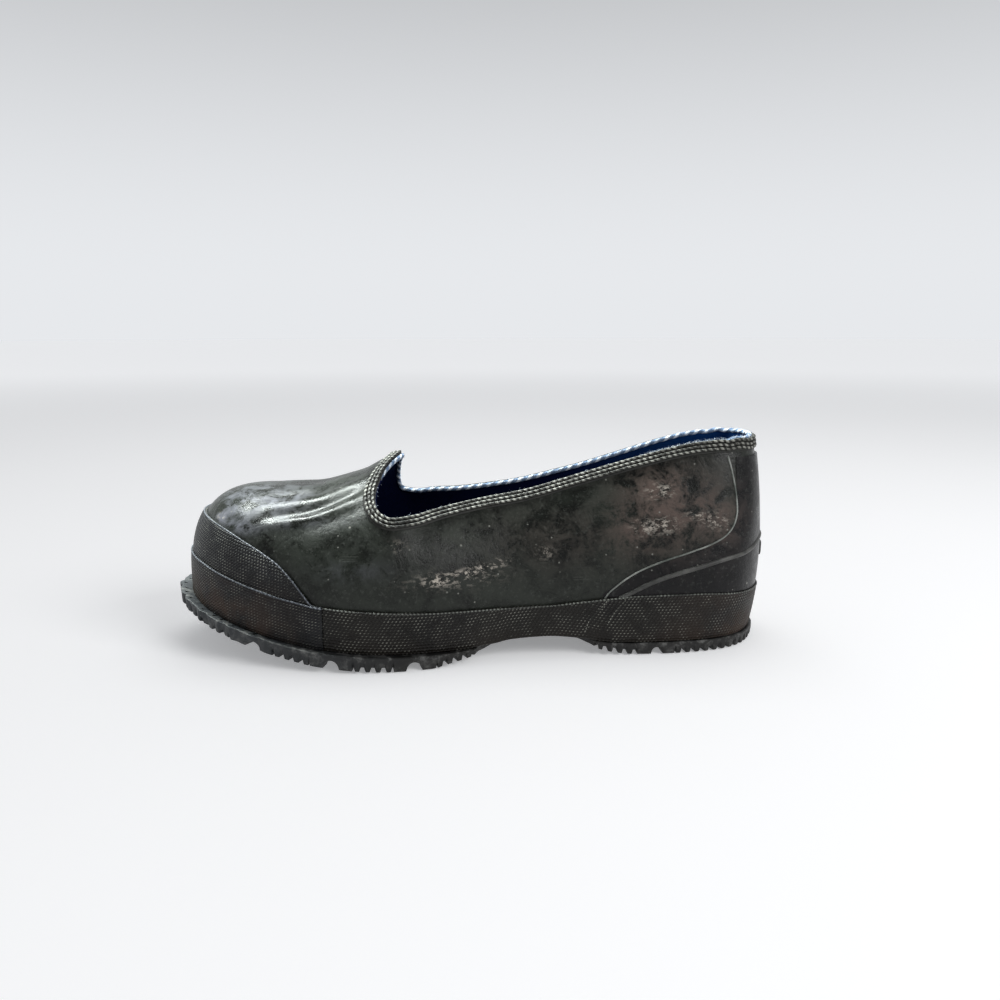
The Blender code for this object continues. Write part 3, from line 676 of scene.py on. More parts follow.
def grid_uvs(points, ring):
    """Millimetres along and up a grid, the first with an extra column where it closes."""
    whole = np.concatenate((points, points[:1]), axis=0) if ring else points
    middle = whole[:, whole.shape[1] // 2][:, None]
    along = np.repeat(run_lengths(middle, 0), whole.shape[1], axis=1)
    up = run_lengths(whole, 1)
    return along, up


def grid_normals(points, ring):
    """Outward normals of a grid from its neighbours."""
    if ring:
        ahead = np.roll(points, -1, axis=0) - np.roll(points, 1, axis=0)
    else:
        ahead = np.gradient(points, axis=0)
    upward = np.gradient(points, axis=1)
    normal = np.cross(upward, ahead)
    normal /= np.maximum(np.linalg.norm(normal, axis=-1), 1e-9)[..., None]
    return normal


def section_faces(columns, size, ring):
    """Faces between closed sections of one size that follow each other."""
    faces = []
    for i in range(columns if ring else columns - 1):
        j = (i + 1) % columns
        for k in range(size):
            n = (k + 1) % size
            faces.append((i * size + k, i * size + n, j * size + n, j * size + k))
    return faces


def tube_piece(name, path, normal, radius, material, node_name, ring, sides):
    """Round tube along a path that lies on a surface with the given normals."""
    if ring:
        ahead = np.roll(path, -1, axis=0) - np.roll(path, 1, axis=0)
    else:
        ahead = np.gradient(path, axis=0)
    ahead = unit(ahead)
    side = np.cross(ahead, normal)
    side = unit(side)
    up = np.cross(side, ahead)
    size = np.broadcast_to(np.asarray(radius, float), (len(path),)).copy()
    if not ring:
        size[[0, -1]] *= 0.15
    angle = np.linspace(0.0, 2.0 * np.pi, sides, endpoint=False)
    rings = path[:, None] + size[:, None, None] * (
        np.cos(angle)[None, :, None] * side[:, None] + np.sin(angle)[None, :, None] * up[:, None]
    )
    count = len(path)
    whole = np.vstack((path, path[:1])) if ring else path
    along = lengths_along(whole)
    faces = section_faces(count, sides, ring)
    uvs = []
    for i in range(count if ring else count - 1):
        for k in range(sides):
            v0 = k / sides
            v1 = (k + 1) / sides
            uvs += [(along[i], v0), (along[i], v1), (along[i + 1], v1), (along[i + 1], v0)]
    if not ring:
        faces.append(tuple(range(sides))[::-1])
        faces.append(tuple(range((count - 1) * sides, count * sides)))
        uvs += [(0.0, 0.0)] * (2 * sides)
    piece = mesh_piece(name, rings.reshape(-1, 3), faces, uvs, material, node_name)
    face_outward(piece)
    return piece


def new_material(name):
    material = bpy.data.materials.new(name)
    material.use_nodes = True
    tree = material.node_tree
    return material, tree, tree.nodes["Principled BSDF"]


def node(tree, kind, inputs=None, **settings):
    """Adds a shader node; inputs maps a socket's name or number to a value or a socket."""
    made = tree.nodes.new(kind)
    for key, value in settings.items():
        setattr(made, key, value)
    for key, value in (inputs or {}).items():
        socket = made.inputs[key]
        if isinstance(value, bpy.types.NodeSocket):
            tree.links.new(value, socket)
        else:
            socket.default_value = value
    return made


def maths(tree, operation, first, second=None, third=None, clamp=False):
    inputs = {0: first}
    if second is not None:
        inputs[1] = second
    if third is not None:
        inputs[2] = third
    return node(tree, "ShaderNodeMath", inputs, operation=operation, use_clamp=clamp).outputs[0]


def times(tree, first, second):
    return maths(tree, "MULTIPLY", first, second)


def scaled(tree, value, factor, shift, clamp=False):
    """The value times a factor, plus a shift."""
    return maths(tree, "MULTIPLY_ADD", value, factor, shift, clamp)


def noise(tree, vector, scale, detail, roughness=0.55, distortion=0.0):
    inputs = {"Vector": vector, "Scale": scale, "Detail": detail, "Roughness": roughness}
    inputs["Distortion"] = distortion
    return node(tree, "ShaderNodeTexNoise", inputs).outputs["Fac"]


def ramp(tree, value, low, high):
    """Value taken from low to high as 0 to 1, with soft ends."""
    inputs = {"Value": value, "From Min": low, "From Max": high, "To Min": 0.0, "To Max": 1.0}
    made = node(tree, "ShaderNodeMapRange", inputs, interpolation_type="SMOOTHSTEP")
    return made.outputs[0]


def blend_colours(tree, share, first, second):
    made = node(tree, "ShaderNodeMix", data_type="RGBA")
    for socket, value in ((made.inputs[0], share), (made.inputs[6], first), (made.inputs[7], second)):
        if isinstance(value, bpy.types.NodeSocket):
            tree.links.new(value, socket)
        elif socket == made.inputs[0]:
            socket.default_value = value
        else:
            socket.default_value = (*value, 1.0)
    return made.outputs[2]


def object_vector(tree):
    return node(tree, "ShaderNodeTexCoord").outputs["Object"]


def uv_parts(tree):
    parts = node(tree, "ShaderNodeSeparateXYZ", {0: node(tree, "ShaderNodeTexCoord").outputs["UV"]})
    return parts.outputs[0], parts.outputs[1]


def attribute(tree, name):
    return node(tree, "ShaderNodeAttribute", attribute_name=name).outputs["Fac"]


def bump(tree, height, distance, strength):
    inputs = {"Height": height, "Distance": distance, "Strength": strength}
    return node(tree, "ShaderNodeBump", inputs).outputs[0]


def link(tree, value, socket):
    tree.links.new(value, socket)


def stretched(tree, vector, turn, scale):
    """The vector turned about the side axis and scaled unevenly, for marks with a direction."""
    inputs = {"Vector": vector, "Rotation": (0.0, turn, 0.0), "Scale": scale}
    return node(tree, "ShaderNodeMapping", inputs).outputs[0]


def scratch_lines(tree, vector, turn, threshold):
    """Short fine scratches that lie mostly one way, from 0 to 1."""
    field = noise(tree, stretched(tree, vector, turn, (5.0, 6.0, 230.0)), 1.0, 2.0, 0.5)
    line = ramp(tree, maths(tree, "ABSOLUTE", maths(tree, "SUBTRACT", field, 0.5)), 0.0065, 0.001)
    chosen = ramp(tree, noise(tree, vector, 62.0 + 9.0 * turn, 2.0), threshold, threshold + 0.05)
    return times(tree, line, chosen)


def speck_dots(tree, vector, scale, size, share):
    """Tiny pale specks at random places."""
    inputs = {"Vector": vector, "Scale": scale}
    cells = node(tree, "ShaderNodeTexVoronoi", inputs)
    dot = ramp(tree, cells.outputs["Distance"], size, size * 0.4)
    parts = node(tree, "ShaderNodeSeparateXYZ", {0: cells.outputs["Color"]})
    return times(tree, dot, maths(tree, "GREATER_THAN", parts.outputs[0], 1.0 - share))


def upper_rubber(name, dark, light, mottle):
    """Worn black rubber: dusty and mottled, with specks, fine scratches and a pale bloom that is partly
    painted sheen and highlight.
    """
    material, tree, shader = new_material(name)
    place_vector = object_vector(tree)
    broad = noise(tree, place_vector, 26.0, 5.0, 0.62, 0.3)
    middle = noise(tree, place_vector, 95.0, 6.0, 0.68, 0.5)
    fine = noise(tree, place_vector, 650.0, 4.0, 0.65)
    ragged = noise(tree, stretched(tree, place_vector, 0.35, (300.0, 300.0, 520.0)), 1.0, 5.0, 0.72, 0.15)
    dust = attribute(tree, "dust")
    bloom_and_sheen = attribute(tree, "bloom_and_sheen")
    scuff = attribute(tree, "scuff")
    cloud = ramp(tree, scaled(tree, fine, 0.25, times(tree, middle, 0.85)), 0.44, 0.66)
    film = times(tree, dust, cloud)
    chalk = times(tree, scuff, ramp(tree, ragged, 0.505, 0.585))
    clean = blend_colours(tree, ramp(tree, broad, 0.38, 0.66), dark, light)
    mottled = blend_colours(tree, times(tree, cloud, 0.45), clean, mottle)
    grit = ramp(tree, noise(tree, place_vector, 520.0, 3.0, 0.7), 0.54, 0.70)
    mottled = blend_colours(tree, times(tree, grit, 0.28), mottled, (0.075, 0.080, 0.072))
    dusty = blend_colours(tree, film, mottled, (0.078, 0.056, 0.047))
    # Pale bloom: partly real bloom, partly painted sheen on the toe's top and a painted highlight band low
    # on the forefoot's outer side
    pale = times(tree, bloom_and_sheen, ramp(tree, middle, 0.40, 0.62))
    with_bloom_and_sheen = blend_colours(tree, pale, dusty, (0.115, 0.117, 0.135))
    scarred = blend_colours(tree, chalk, with_bloom_and_sheen, (0.42, 0.38, 0.33))
    lines = maths(
        tree, "MAXIMUM", scratch_lines(tree, place_vector, 0.45, 0.60),
        scratch_lines(tree, place_vector, -0.8, 0.62),
    )
    specks = maths(
        tree, "MAXIMUM", speck_dots(tree, place_vector, 260.0, 0.15, 0.16),
        speck_dots(tree, place_vector, 150.0, 0.12, 0.10),
    )
    marks = maths(tree, "MAXIMUM", times(tree, lines, 0.09), times(tree, specks, 0.8))
    marked = blend_colours(tree, marks, scarred, (0.20, 0.20, 0.18))
    link(tree, marked, shader.inputs["Base Color"])
    rough = scaled(tree, cloud, 0.14, 0.25)
    rough = scaled(tree, film, 0.18, rough)
    rough = scaled(tree, chalk, 0.25, rough)
    link(tree, rough, shader.inputs["Roughness"])
    shader.inputs["Specular IOR Level"].default_value = 0.20
    height = scaled(tree, fine, 0.22, middle)
    height = scaled(tree, lines, -0.05, height)
    height = scaled(tree, chalk, 0.2, height)
    link(tree, bump(tree, height, 0.0007, 0.6), shader.inputs["Normal"])
    return material


def lattice(tree, pitch_u, pitch_v, lean):
    """Height of rows of small raised dots, from 0 to 1, in UV millimetres."""
    u, v = uv_parts(tree)
    skewed = scaled(tree, v, lean, u)
    across = maths(tree, "SINE", times(tree, skewed, 2.0 * math.pi / pitch_u))
    upward = maths(tree, "SINE", times(tree, v, 2.0 * math.pi / pitch_v))
    return scaled(tree, across, 0.25, scaled(tree, upward, 0.25, 0.5))


def textured_rubber(name, pitch_u, pitch_v, lean, low, high, brown_colour):
    """Black rubber with a moulded pattern of fine dots, their tops pale partly from wear and partly as
    painted highlight, and a mottled brown tint.
    """
    material, tree, shader = new_material(name)
    place_vector = object_vector(tree)
    dots = lattice(tree, pitch_u, pitch_v, lean)
    broad = noise(tree, place_vector, 30.0, 4.0, 0.6, 0.3)
    middle = noise(tree, place_vector, 150.0, 5.0, 0.65, 0.3)
    # Pale tops of the moulded dots: partly worn rubber, partly painted highlight
    tops = ramp(tree, dots, 0.72, 0.95)
    shade = blend_colours(tree, ramp(tree, broad, 0.35, 0.65), low, high)
    worn = times(tree, tops, ramp(tree, middle, 0.40, 0.66))
    lit = blend_colours(tree, times(tree, worn, 0.9), shade, (0.19, 0.19, 0.165))
    # On the foxing and bumper the dust attribute holds a mottled brown tint, browner towards the heel, the
    # toe and the bottom
    dust = attribute(tree, "dust")
    film = times(tree, dust, ramp(tree, noise(tree, place_vector, 60.0, 5.0, 0.65), 0.30, 0.62))
    browned = blend_colours(tree, times(tree, film, 0.85), lit, brown_colour)
    link(tree, browned, shader.inputs["Base Color"])
    rough = scaled(tree, film, 0.3, scaled(tree, middle, 0.2, 0.36))
    link(tree, rough, shader.inputs["Roughness"])
    shader.inputs["Specular IOR Level"].default_value = 0.22
    height = scaled(tree, middle, 0.15, dots)
    link(tree, bump(tree, height, 0.0004, 1.0), shader.inputs["Normal"])
    return material


def plain_rubber(name, low, high, roughness):
    material, tree, shader = new_material(name)
    place_vector = object_vector(tree)
    middle = noise(tree, place_vector, 120.0, 5.0, 0.6)
    fine = noise(tree, place_vector, 1200.0, 2.0, 0.5)
    colour = blend_colours(tree, ramp(tree, middle, 0.35, 0.68), low, high)
    link(tree, colour, shader.inputs["Base Color"])
    rough = scaled(tree, middle, 0.2, roughness - 0.1)
    link(tree, rough, shader.inputs["Roughness"])
    shader.inputs["Specular IOR Level"].default_value = 0.35
    height = scaled(tree, fine, 0.3, middle)
    link(tree, bump(tree, height, 0.0002, 0.6), shader.inputs["Normal"])
    return material


def dashed_rubber(name, pitch, dark, pale):
    """A thin raised line whose moulded dashes are worn pale."""
    material, tree, shader = new_material(name)
    u, _ = uv_parts(tree)
    place_vector = object_vector(tree)
    wave = maths(tree, "SINE", times(tree, u, 2.0 * math.pi / pitch))
    patchy = noise(tree, place_vector, 70.0, 4.0, 0.65)
    share = times(tree, ramp(tree, wave, -0.5, 0.5), ramp(tree, patchy, 0.34, 0.6))
    link(tree, blend_colours(tree, share, dark, pale), shader.inputs["Base Color"])
    shader.inputs["Roughness"].default_value = 0.5
    shader.inputs["Specular IOR Level"].default_value = 0.35
    link(tree, bump(tree, wave, 0.0002, 0.6), shader.inputs["Normal"])
    return material


def sole_rubber():
    """Dark grey sole, chalky along its top edge and on its teeth."""
    material, tree, shader = new_material("sole_rubber_scuffed")
    place_vector = object_vector(tree)
    middle = noise(tree, place_vector, 150.0, 6.0, 0.68, 0.4)
    fine = noise(tree, place_vector, 900.0, 3.0, 0.6)
    edge = attribute(tree, "edge")
    front = attribute(tree, "front")
    base = blend_colours(
        tree, ramp(tree, middle, 0.35, 0.65), (0.0045, 0.0043, 0.004), (0.013, 0.0125, 0.0115),
    )
    lifted = blend_colours(tree, front, base, (0.021, 0.024, 0.027))
    rub = times(tree, edge, ramp(tree, scaled(tree, fine, 0.3, middle), 0.62, 0.86))
    colour = blend_colours(tree, rub, lifted, (0.13, 0.13, 0.125))
    link(tree, colour, shader.inputs["Base Color"])
    link(tree, scaled(tree, middle, 0.25, 0.40), shader.inputs["Roughness"])
    shader.inputs["Specular IOR Level"].default_value = 0.35
    height = scaled(tree, fine, 0.4, middle)
    link(tree, bump(tree, height, 0.00025, 0.6), shader.inputs["Normal"])
    return material


def cord_rubber():
    """Fabric-marked cord: light worn dashes along a dark round cord."""
    material, tree, shader = new_material("cord_marked")
    u, v = uv_parts(tree)
    place_vector = object_vector(tree)
    middle = noise(tree, place_vector, 130.0, 4.0, 0.65)
    fine = noise(tree, place_vector, 900.0, 2.0, 0.6)
    slant = scaled(tree, v, -2.2, u)
    dash = maths(tree, "SINE", times(tree, slant, 2.0 * math.pi / CORD_DASH))
    crest = ramp(tree, maths(tree, "ABSOLUTE", maths(tree, "SUBTRACT", v, 0.25)), 0.17, 0.08)
    mark = times(tree, crest, ramp(tree, dash, -0.45, 0.25))
    worn = times(tree, mark, ramp(tree, scaled(tree, fine, 0.3, middle), 0.50, 0.80))
    dark = blend_colours(tree, middle, (0.006, 0.006, 0.005), (0.022, 0.022, 0.018))
    colour = blend_colours(tree, worn, dark, (0.29, 0.29, 0.26))
    link(tree, colour, shader.inputs["Base Color"])
    shader.inputs["Roughness"].default_value = 0.55
    shader.inputs["Specular IOR Level"].default_value = 0.3
    link(tree, bump(tree, dash, 0.0003, 0.8), shader.inputs["Normal"])
    return material


def lining_cloth(name, dark, light, pile):
    """Navy fabric with a short pile, brighter where the light reaches in at the heel."""
    material, tree, shader = new_material(name)
    place_vector = object_vector(tree)
    parts = node(tree, "ShaderNodeSeparateXYZ", {0: place_vector})
    toward_heel = ramp(tree, parts.outputs[0], 0.03, 0.12)
    upward = ramp(tree, parts.outputs[2], 0.060, 0.098)
    toward_heel = times(tree, toward_heel, upward)
    soft = noise(tree, place_vector, 90.0, 4.0, 0.6)
    fibre = noise(tree, place_vector, 1500.0, 3.0, 0.65)
    share = times(tree, toward_heel, scaled(tree, soft, 0.8, 0.5))
    colour = blend_colours(tree, share, dark, light)
    colour = blend_colours(tree, times(tree, ramp(tree, fibre, 0.55, 0.75), 0.18), colour, light)
    link(tree, colour, shader.inputs["Base Color"])
    shader.inputs["Roughness"].default_value = 0.95
    shader.inputs["Specular IOR Level"].default_value = 0.08
    shader.inputs["Sheen Weight"].default_value = 0.08
    shader.inputs["Sheen Tint"].default_value = (0.15, 0.3, 0.8, 1.0)
    link(tree, bump(tree, fibre, pile, 0.9), shader.inputs["Normal"])
    return material


def edge_cloth():
    """Pale worn edge of the lining, twisted light and blue."""
    material, tree, shader = new_material("lining_edge_worn")
    u, v = uv_parts(tree)
    place_vector = object_vector(tree)
    slant = scaled(tree, v, TWIST * 1.4, u)
    twist = maths(tree, "SINE", times(tree, slant, 2.0 * math.pi / TWIST))
    fibre = noise(tree, place_vector, 1300.0, 3.0, 0.7)
    soft = noise(tree, place_vector, 120.0, 3.0, 0.6)
    share = times(tree, ramp(tree, twist, -0.3, 0.7), ramp(tree, soft, 0.28, 0.55))
    share = scaled(tree, ramp(tree, fibre, 0.45, 0.7), 0.25, times(tree, share, 0.85), clamp=True)
    colour = blend_colours(tree, share, (0.10, 0.15, 0.24), (0.66, 0.71, 0.77))
    link(tree, colour, shader.inputs["Base Color"])
    shader.inputs["Roughness"].default_value = 0.95
    shader.inputs["Specular IOR Level"].default_value = 0.1
    height = scaled(tree, twist, 0.7, fibre)
    link(tree, bump(tree, height, 0.0004, 0.9), shader.inputs["Normal"])
    return material


# Soft folds of the vamp: flat places of the line, half width, height of the ridge
FOLDS = (
    (
        ((262.0, -14.2), (249.0, -14.6), (240.0, -13.7), (226.5, -12.0), (213.0, -9.8), (202.0, -10.5)),
        3.6, 0.95,
    ),
    (
        ((258.0, -19.9), (246.2, -19.3), (237.4, -18.7), (229.5, -18.2), (216.1, -16.0), (204.0, -14.6)),
        2.8, -1.25,
    ),
    (
        ((258.0, -22.6), (248.4, -22.8), (235.3, -21.9), (222.2, -20.5), (212.3, -19.2), (203.0, -18.6)),
        2.8, 1.0,
    ),
    (((254.0, -27.0), (240.0, -27.4), (226.0, -26.0), (214.0, -24.6), (204.0, -24.0)), 3.4, -0.45),
    (((250.0, -33.5), (234.0, -36.0), (217.0, -37.5), (200.0, -36.0)), 7.0, -0.5),
    (((228.0, -46.5), (213.9, -44.7), (200.0, -42.7), (188.0, -40.0)), 5.5, 0.4),
    (((262.0, -8.0), (244.0, -7.4), (226.0, -6.0), (210.0, -4.5)), 3.5, -0.7),
    (((256.0, 8.0), (240.0, 9.5), (224.0, 9.0), (210.0, 7.5)), 3.6, 0.8),
    (((256.0, 15.5), (240.0, 17.0), (224.0, 16.5), (208.0, 14.0)), 3.2, -1.0),
    (((252.0, 22.5), (236.0, 24.5), (220.0, 23.0), (206.0, 20.0)), 3.4, 0.8),
    (((236.0, 36.0), (218.0, 38.0), (200.0, 36.5)), 6.0, -0.7),
)

# Worn places: station, side, height, reach along, reach up, strength. The bloom table also holds painted
# sheen on the toe's top and a painted highlight band low on the outer side.
DUST_SPOTS = (
    (52.0, -1, 72.0, 24.0, 17.0, 0.95),
    (62.0, -1, 84.0, 14.0, 8.0, 0.7),
    (72.0, -1, 64.0, 14.0, 10.0, 0.7),
    (30.0, -1, 66.0, 9.0, 10.0, 0.5),
    (110.0, -1, 58.0, 40.0, 14.0, 0.22),
    (60.0, 1, 70.0, 24.0, 15.0, 0.6),
)
# Pale spots on the toe's top: partly real bloom, partly painted sheen
BLOOM_AND_SHEEN_SPOTS = (
    (274.0, -1, 74.0, 11.0, 7.0, 0.85),
    (258.0, -1, 76.5, 12.0, 4.5, 0.8),
    (281.0, -1, 68.8, 3.4, 2.0, 1.0),
    (269.0, -1, 65.5, 9.0, 2.6, 0.75),
    (242.0, -1, 77.0, 14.0, 3.5, 0.5),
    (245.0, -1, 69.5, 18.0, 2.8, 0.45),
    # Painted highlight band, low on the forefoot's outer side
    (212.0, -1, 47.5, 17.0, 4.5, 0.22),
    (262.0, 1, 74.0, 18.0, 7.0, 0.5),
)
SCUFF_SPOTS = (
    (174.0, -1, 41.8, 4.5, 2.0, 1.0),
    (168.0, -1, 43.6, 3.0, 1.2, 0.8),
    (158.0, -1, 44.6, 4.5, 1.6, 0.95),
    (149.5, -1, 46.4, 5.0, 1.5, 1.0),
    (142.0, -1, 48.4, 3.5, 1.6, 0.7),
    (165.0, -1, 42.0, 18.0, 3.6, 0.45),
    (119.7, -1, 52.0, 4.0, 2.4, 0.5),
    (192.0, -1, 58.5, 3.5, 2.4, 0.4),
    (63.3, -1, 80.7, 5.0, 3.2, 0.75),
    (58.0, -1, 81.5, 3.0, 2.4, 0.6),
    (70.4, -1, 64.0, 5.0, 3.2, 0.8),
    (59.5, -1, 65.0, 6.0, 3.4, 0.8),
    (43.6, -1, 69.6, 4.5, 2.2, 0.75),
    (33.5, -1, 66.4, 6.0, 3.2, 0.7),
    (281.0, -1, 68.8, 2.0, 1.4, 0.6),
    (60.0, 1, 62.0, 9.0, 4.0, 0.6),
    (150.0, 1, 42.0, 14.0, 4.0, 0.6),
)


def spots(points, table):
    """Strength of the worn places at points in station, side and height."""
    total = np.zeros(points.shape[:-1])
    for station, side, height, along, up, strength in table:
        near = np.exp(-(((points[..., 0] - station) / along) ** 2) - ((points[..., 2] - height) / up) ** 2)
        total += strength * near * (points[..., 1] * side > 0.0)
    return np.clip(total, 0.0, 1.0)


def give(item, name, values):
    """Keeps one value for each point of a piece, for its material."""
    layer = item.data.attributes.new(name, "FLOAT", "POINT")
    layer.data.foreach_set("value", np.asarray(values, np.float32).reshape(-1))


def give_wear_and_sheen(piece, outer, inner):
    """Dust, bloom with painted sheen and highlight, and scuffs as attributes of a sheet between two grids.
    """
    both = np.concatenate((outer.reshape(-1, 3), inner.reshape(-1, 3)))
    for name, table in (("dust", DUST_SPOTS), ("bloom_and_sheen", BLOOM_AND_SHEEN_SPOTS), ("scuff", SCUFF_SPOTS)):
        give(piece, name, spots(both, table))


def fold_height(flat):
    """How far the vamp's folds stand out at flat places."""
    total = np.zeros(flat.shape[:-1])
    for line, width, height in FOLDS:
        line = np.asarray(line, float)
        best = np.full(flat.shape[:-1], 1e9)
        share = np.zeros(flat.shape[:-1])
        lengths = lengths_along(line)
        for i in range(len(line) - 1):
            ray = line[i + 1] - line[i]
            t = np.clip(np.sum((flat - line[i]) * ray, axis=-1) / np.dot(ray, ray), 0.0, 1.0)
            away = np.linalg.norm(flat - line[i] - ray * t[..., None], axis=-1)
            closer = away < best
            best = np.where(closer, away, best)
            share = np.where(closer, (lengths[i] + t * np.linalg.norm(ray)) / lengths[-1], share)
        fade = np.sin(np.clip(share, 0.0, 1.0) * np.pi) ** 0.6
        total += height * fade * np.exp(-((best / width) ** 2))
    return total


def outward(points, normal):
    """The normals, turned where they point into the shoe."""
    middle = points.reshape(-1, 3).mean(axis=0)
    if np.sum((points - middle) * normal) < 0.0:
        normal = -normal
    return normal


def make_upper(rubber_look, lining_look):
    """Creased rubber shell with the lining bonded inside it."""
    flat = upper_grid(upper_columns(UPPER_COLUMNS), 12, 84, ROW_CROWDING)
    base = skin(flat)
    normal = outward(base, grid_normals(base, True))
    outer = base + normal * fold_height(flat)[..., None]
    outer[:, 0] = seat(outer[:, 0], WAIST_LIFT)
    inner = outer - normal * RIND
    inner[:, 0, 2] = outer[:, 0, 2]
    piece = sheet_piece("upper_rubber", outer, inner, True, rubber_look, "upper")
    give_wear_and_sheen(piece, outer, inner)
    flat = upper_grid(upper_columns(LINING_COLUMNS), 5, 44, ROW_CROWDING)
    base = skin(flat)
    normal = outward(base, grid_normals(base, True))
    outer = base - normal * (RIND + 0.02)
    inner = base - normal * WALL
    for grid in (outer, inner):
        grid[:, 0] = seat(grid[:, 0], WAIST_LIFT)
    sheet_piece("lining", outer, inner, True, lining_look, "upper")


def collar_frames(count=440):
    """Evenly spaced collar places with the direction down the outside."""
    edge = skin(COLLAR_EDGE)
    loop = np.vstack((edge, edge[:1]))
    flat_loop = np.vstack((COLLAR_EDGE, COLLAR_EDGE[:1]))
    length = lengths_along(loop)
    wanted = np.linspace(0.0, length[-1], count, endpoint=False)
    flat = np.stack([np.interp(wanted, length, flat_loop[:, k]) for k in range(2)], axis=1)
    ahead = np.roll(flat, -1, axis=0) - np.roll(flat, 1, axis=0)
    away = np.stack((-ahead[:, 1], ahead[:, 0]), axis=1)
    away = unit(away)
    middle = flat.mean(axis=0)
    if np.median(np.sum(away * (flat - middle), axis=1)) < 0.0:
        away = -away
    return flat, away


def edge_directions(flat, away):
    """Places along the collar's edge, with their directions outward and up the side."""
    edge = skin(flat)
    return edge, normals(flat), unit(skin(flat - away * 0.5) - edge)


def walk(flat, away, distances):
    """Flat places at real distances down the outside from the collar's edge."""
    results = []
    travelled = 0.0
    for distance in distances:
        piece = (distance - travelled) / 3.0
        for _ in range(3):
            scale = np.linalg.norm(skin(flat + away * 0.2) - skin(flat), axis=1) / 0.2
            flat = flat + away * (piece / scale)[:, None]
        travelled = distance
        results.append(flat)
    return results


def make_binding(cord_look, tape_look, edge_look):
    """Three cords on a tape round the collar, and the lining's twisted edge."""
    flat, away = collar_frames()
    centres = walk(flat, away, [-0.15 + CORD * (k + 0.5) for k in range(3)])
    for index, line in enumerate(centres):
        normal = normals(line)
        path = skin(line) + normal * 0.72
        path, normal = np.roll(path, 61 * index, axis=0), np.roll(normal, 61 * index, axis=0)
        name = ("collar_cord_top", "collar_cord_middle", "collar_cord_low")[index]
        tube_piece(name, path, normal, 0.84, cord_look, "collar_binding", True, 14)
    rows = walk(flat, away, [0.1, 1.2, 2.3, 3.4, 4.5, 5.4, 6.1, 6.5])
    thick = (0.5, 0.5, 0.5, 0.5, 0.5, 0.5, 0.45, 0.2)
    outer = np.stack([skin(row) + normals(row) * t for row, t in zip(rows, thick)], axis=1)
    inner = np.stack([skin(row) + normals(row) * 0.05 for row in rows], axis=1)
    tape = sheet_piece("collar_tape", outer, inner, True, tape_look, "collar_binding")
    face_outward(tape)
    edge, normal, step = edge_directions(flat, away)
    near = np.clip((-edge[:, 1] + 2.0) / 26.0, 0.0, 1.0) * np.clip((edge[:, 0] - 4.0) / 40.0, 0.0, 1.0)
    near = np.maximum(near, np.clip((edge[:, 0] - 194.0) / 10.0, 0.0, 1.0))
    near = eased(near)
    path = edge - normal * 1.5 + step * (0.25 - 1.5 * near)[:, None]
    tube_piece("lining_edge", path, normal, 1.2, edge_look, "upper", True, 16)


def make_fuzz(look):
    """Loose fibres that stand up from the worn lining along the collar."""
    flat, away = collar_frames(900)
    edge, normal, step = edge_directions(flat, away)
    ahead = np.roll(edge, -1, axis=0) - edge
    ahead = unit(ahead)
    rng = np.random.default_rng(7)
    points = []
    faces = []
    for _ in range(FIBRES):
        i = int(rng.integers(len(edge)))
        near_front = edge[i, 1] < 0.0 and edge[i, 0] > 70.0
        if near_front and rng.random() < 0.93:
            continue
        inset = rng.uniform(0.4, 2.2)
        root = edge[i] - normal[i] * inset + step[i] * rng.uniform(0.2, 0.9)
        lean = rng.normal(0.0, 0.8) * ahead[i] + rng.normal(0.0, 0.35) * normal[i] + step[i]
        lean = unit(lean)
        bend = rng.normal(0.0, 0.6) * ahead[i]
        long = rng.uniform(0.5, 1.5)
        wide = rng.uniform(0.05, 0.1)
        across = np.cross(lean, normal[i])
        across = unit(across)
        third = np.cross(across, lean)
        base = len(points)
        for t, share in ((0.0, 1.0), (0.5, 0.8), (1.0, 0.3)):
            centre_line = root + lean * long * t + bend * long * t * t
            for turn in (0.0, 2.1, 4.2):
                points.append(
                    centre_line + wide * share * (math.cos(turn) * across + math.sin(turn) * third),
                )
        for ring in (0, 3):
            for k in range(3):
                n = (k + 1) % 3
                faces.append((base + ring + k, base + ring + n, base + ring + 3 + n, base + ring + 3 + k))
        faces.append((base + 2, base + 1, base))
        faces.append((base + 6, base + 7, base + 8))
    piece = mesh_piece("lining_fuzz", points, faces, None, look, "upper")
    face_outward(piece)


def strip(name, columns, heights, outer_offset, inner_offset, seated, look, node_name, brown_share):
    """Sheet on the upper from columns and rows of heights, with its brown tint attribute."""
    flats = np.stack([place(np.mod(columns, 1.0), height) for height in heights], axis=1)
    normal = normals(flats)
    base = skin(flats)
    outer = base + normal * np.stack(outer_offset, axis=1)[..., None]
    inner = base + normal * np.stack(inner_offset, axis=1)[..., None]
    if seated is not None:
        for grid in (outer, inner):
            lower = seat(grid[:, 0])
            grid[:, 0, 2] = np.where(seated, lower[:, 2], grid[:, 0, 2])
    piece = sheet_piece(name, outer, inner, False, look, node_name)
    face_outward(piece)
    both = np.concatenate((outer.reshape(-1, 3), inner.reshape(-1, 3)))
    give(piece, "dust", brown_share(both))
    return piece


def raised_line(name, flat, lift, radius, look, node_name):
    """Thin raised line through flat places."""
    normal = normals(flat)
    path = skin(flat) + normal * lift
    return tube_piece(name, path, normal, radius, look, node_name, False, 8)


def surface_path(name, ats, heights, lift, radius, look, node_name, samples=120):
    """Thin raised line through places along the outline and heights."""
    t = np.linspace(0.0, 1.0, len(ats))
    fine = np.linspace(0.0, 1.0, samples)
    flat = place(
        np.mod(smooth(t, np.asarray(ats, float), fine), 1.0),
        smooth(t, np.asarray(heights, float), fine),
    )
    return raised_line(name, flat, lift, radius, look, node_name)


def surface_line(name, stations, side, heights, lift, radius, look, node_name, samples=120):
    """Thin raised line along stations and heights of one side."""
    ats = outline_at(np.asarray(stations, float), side)
    return surface_path(name, ats, heights, lift, radius, look, node_name, samples)


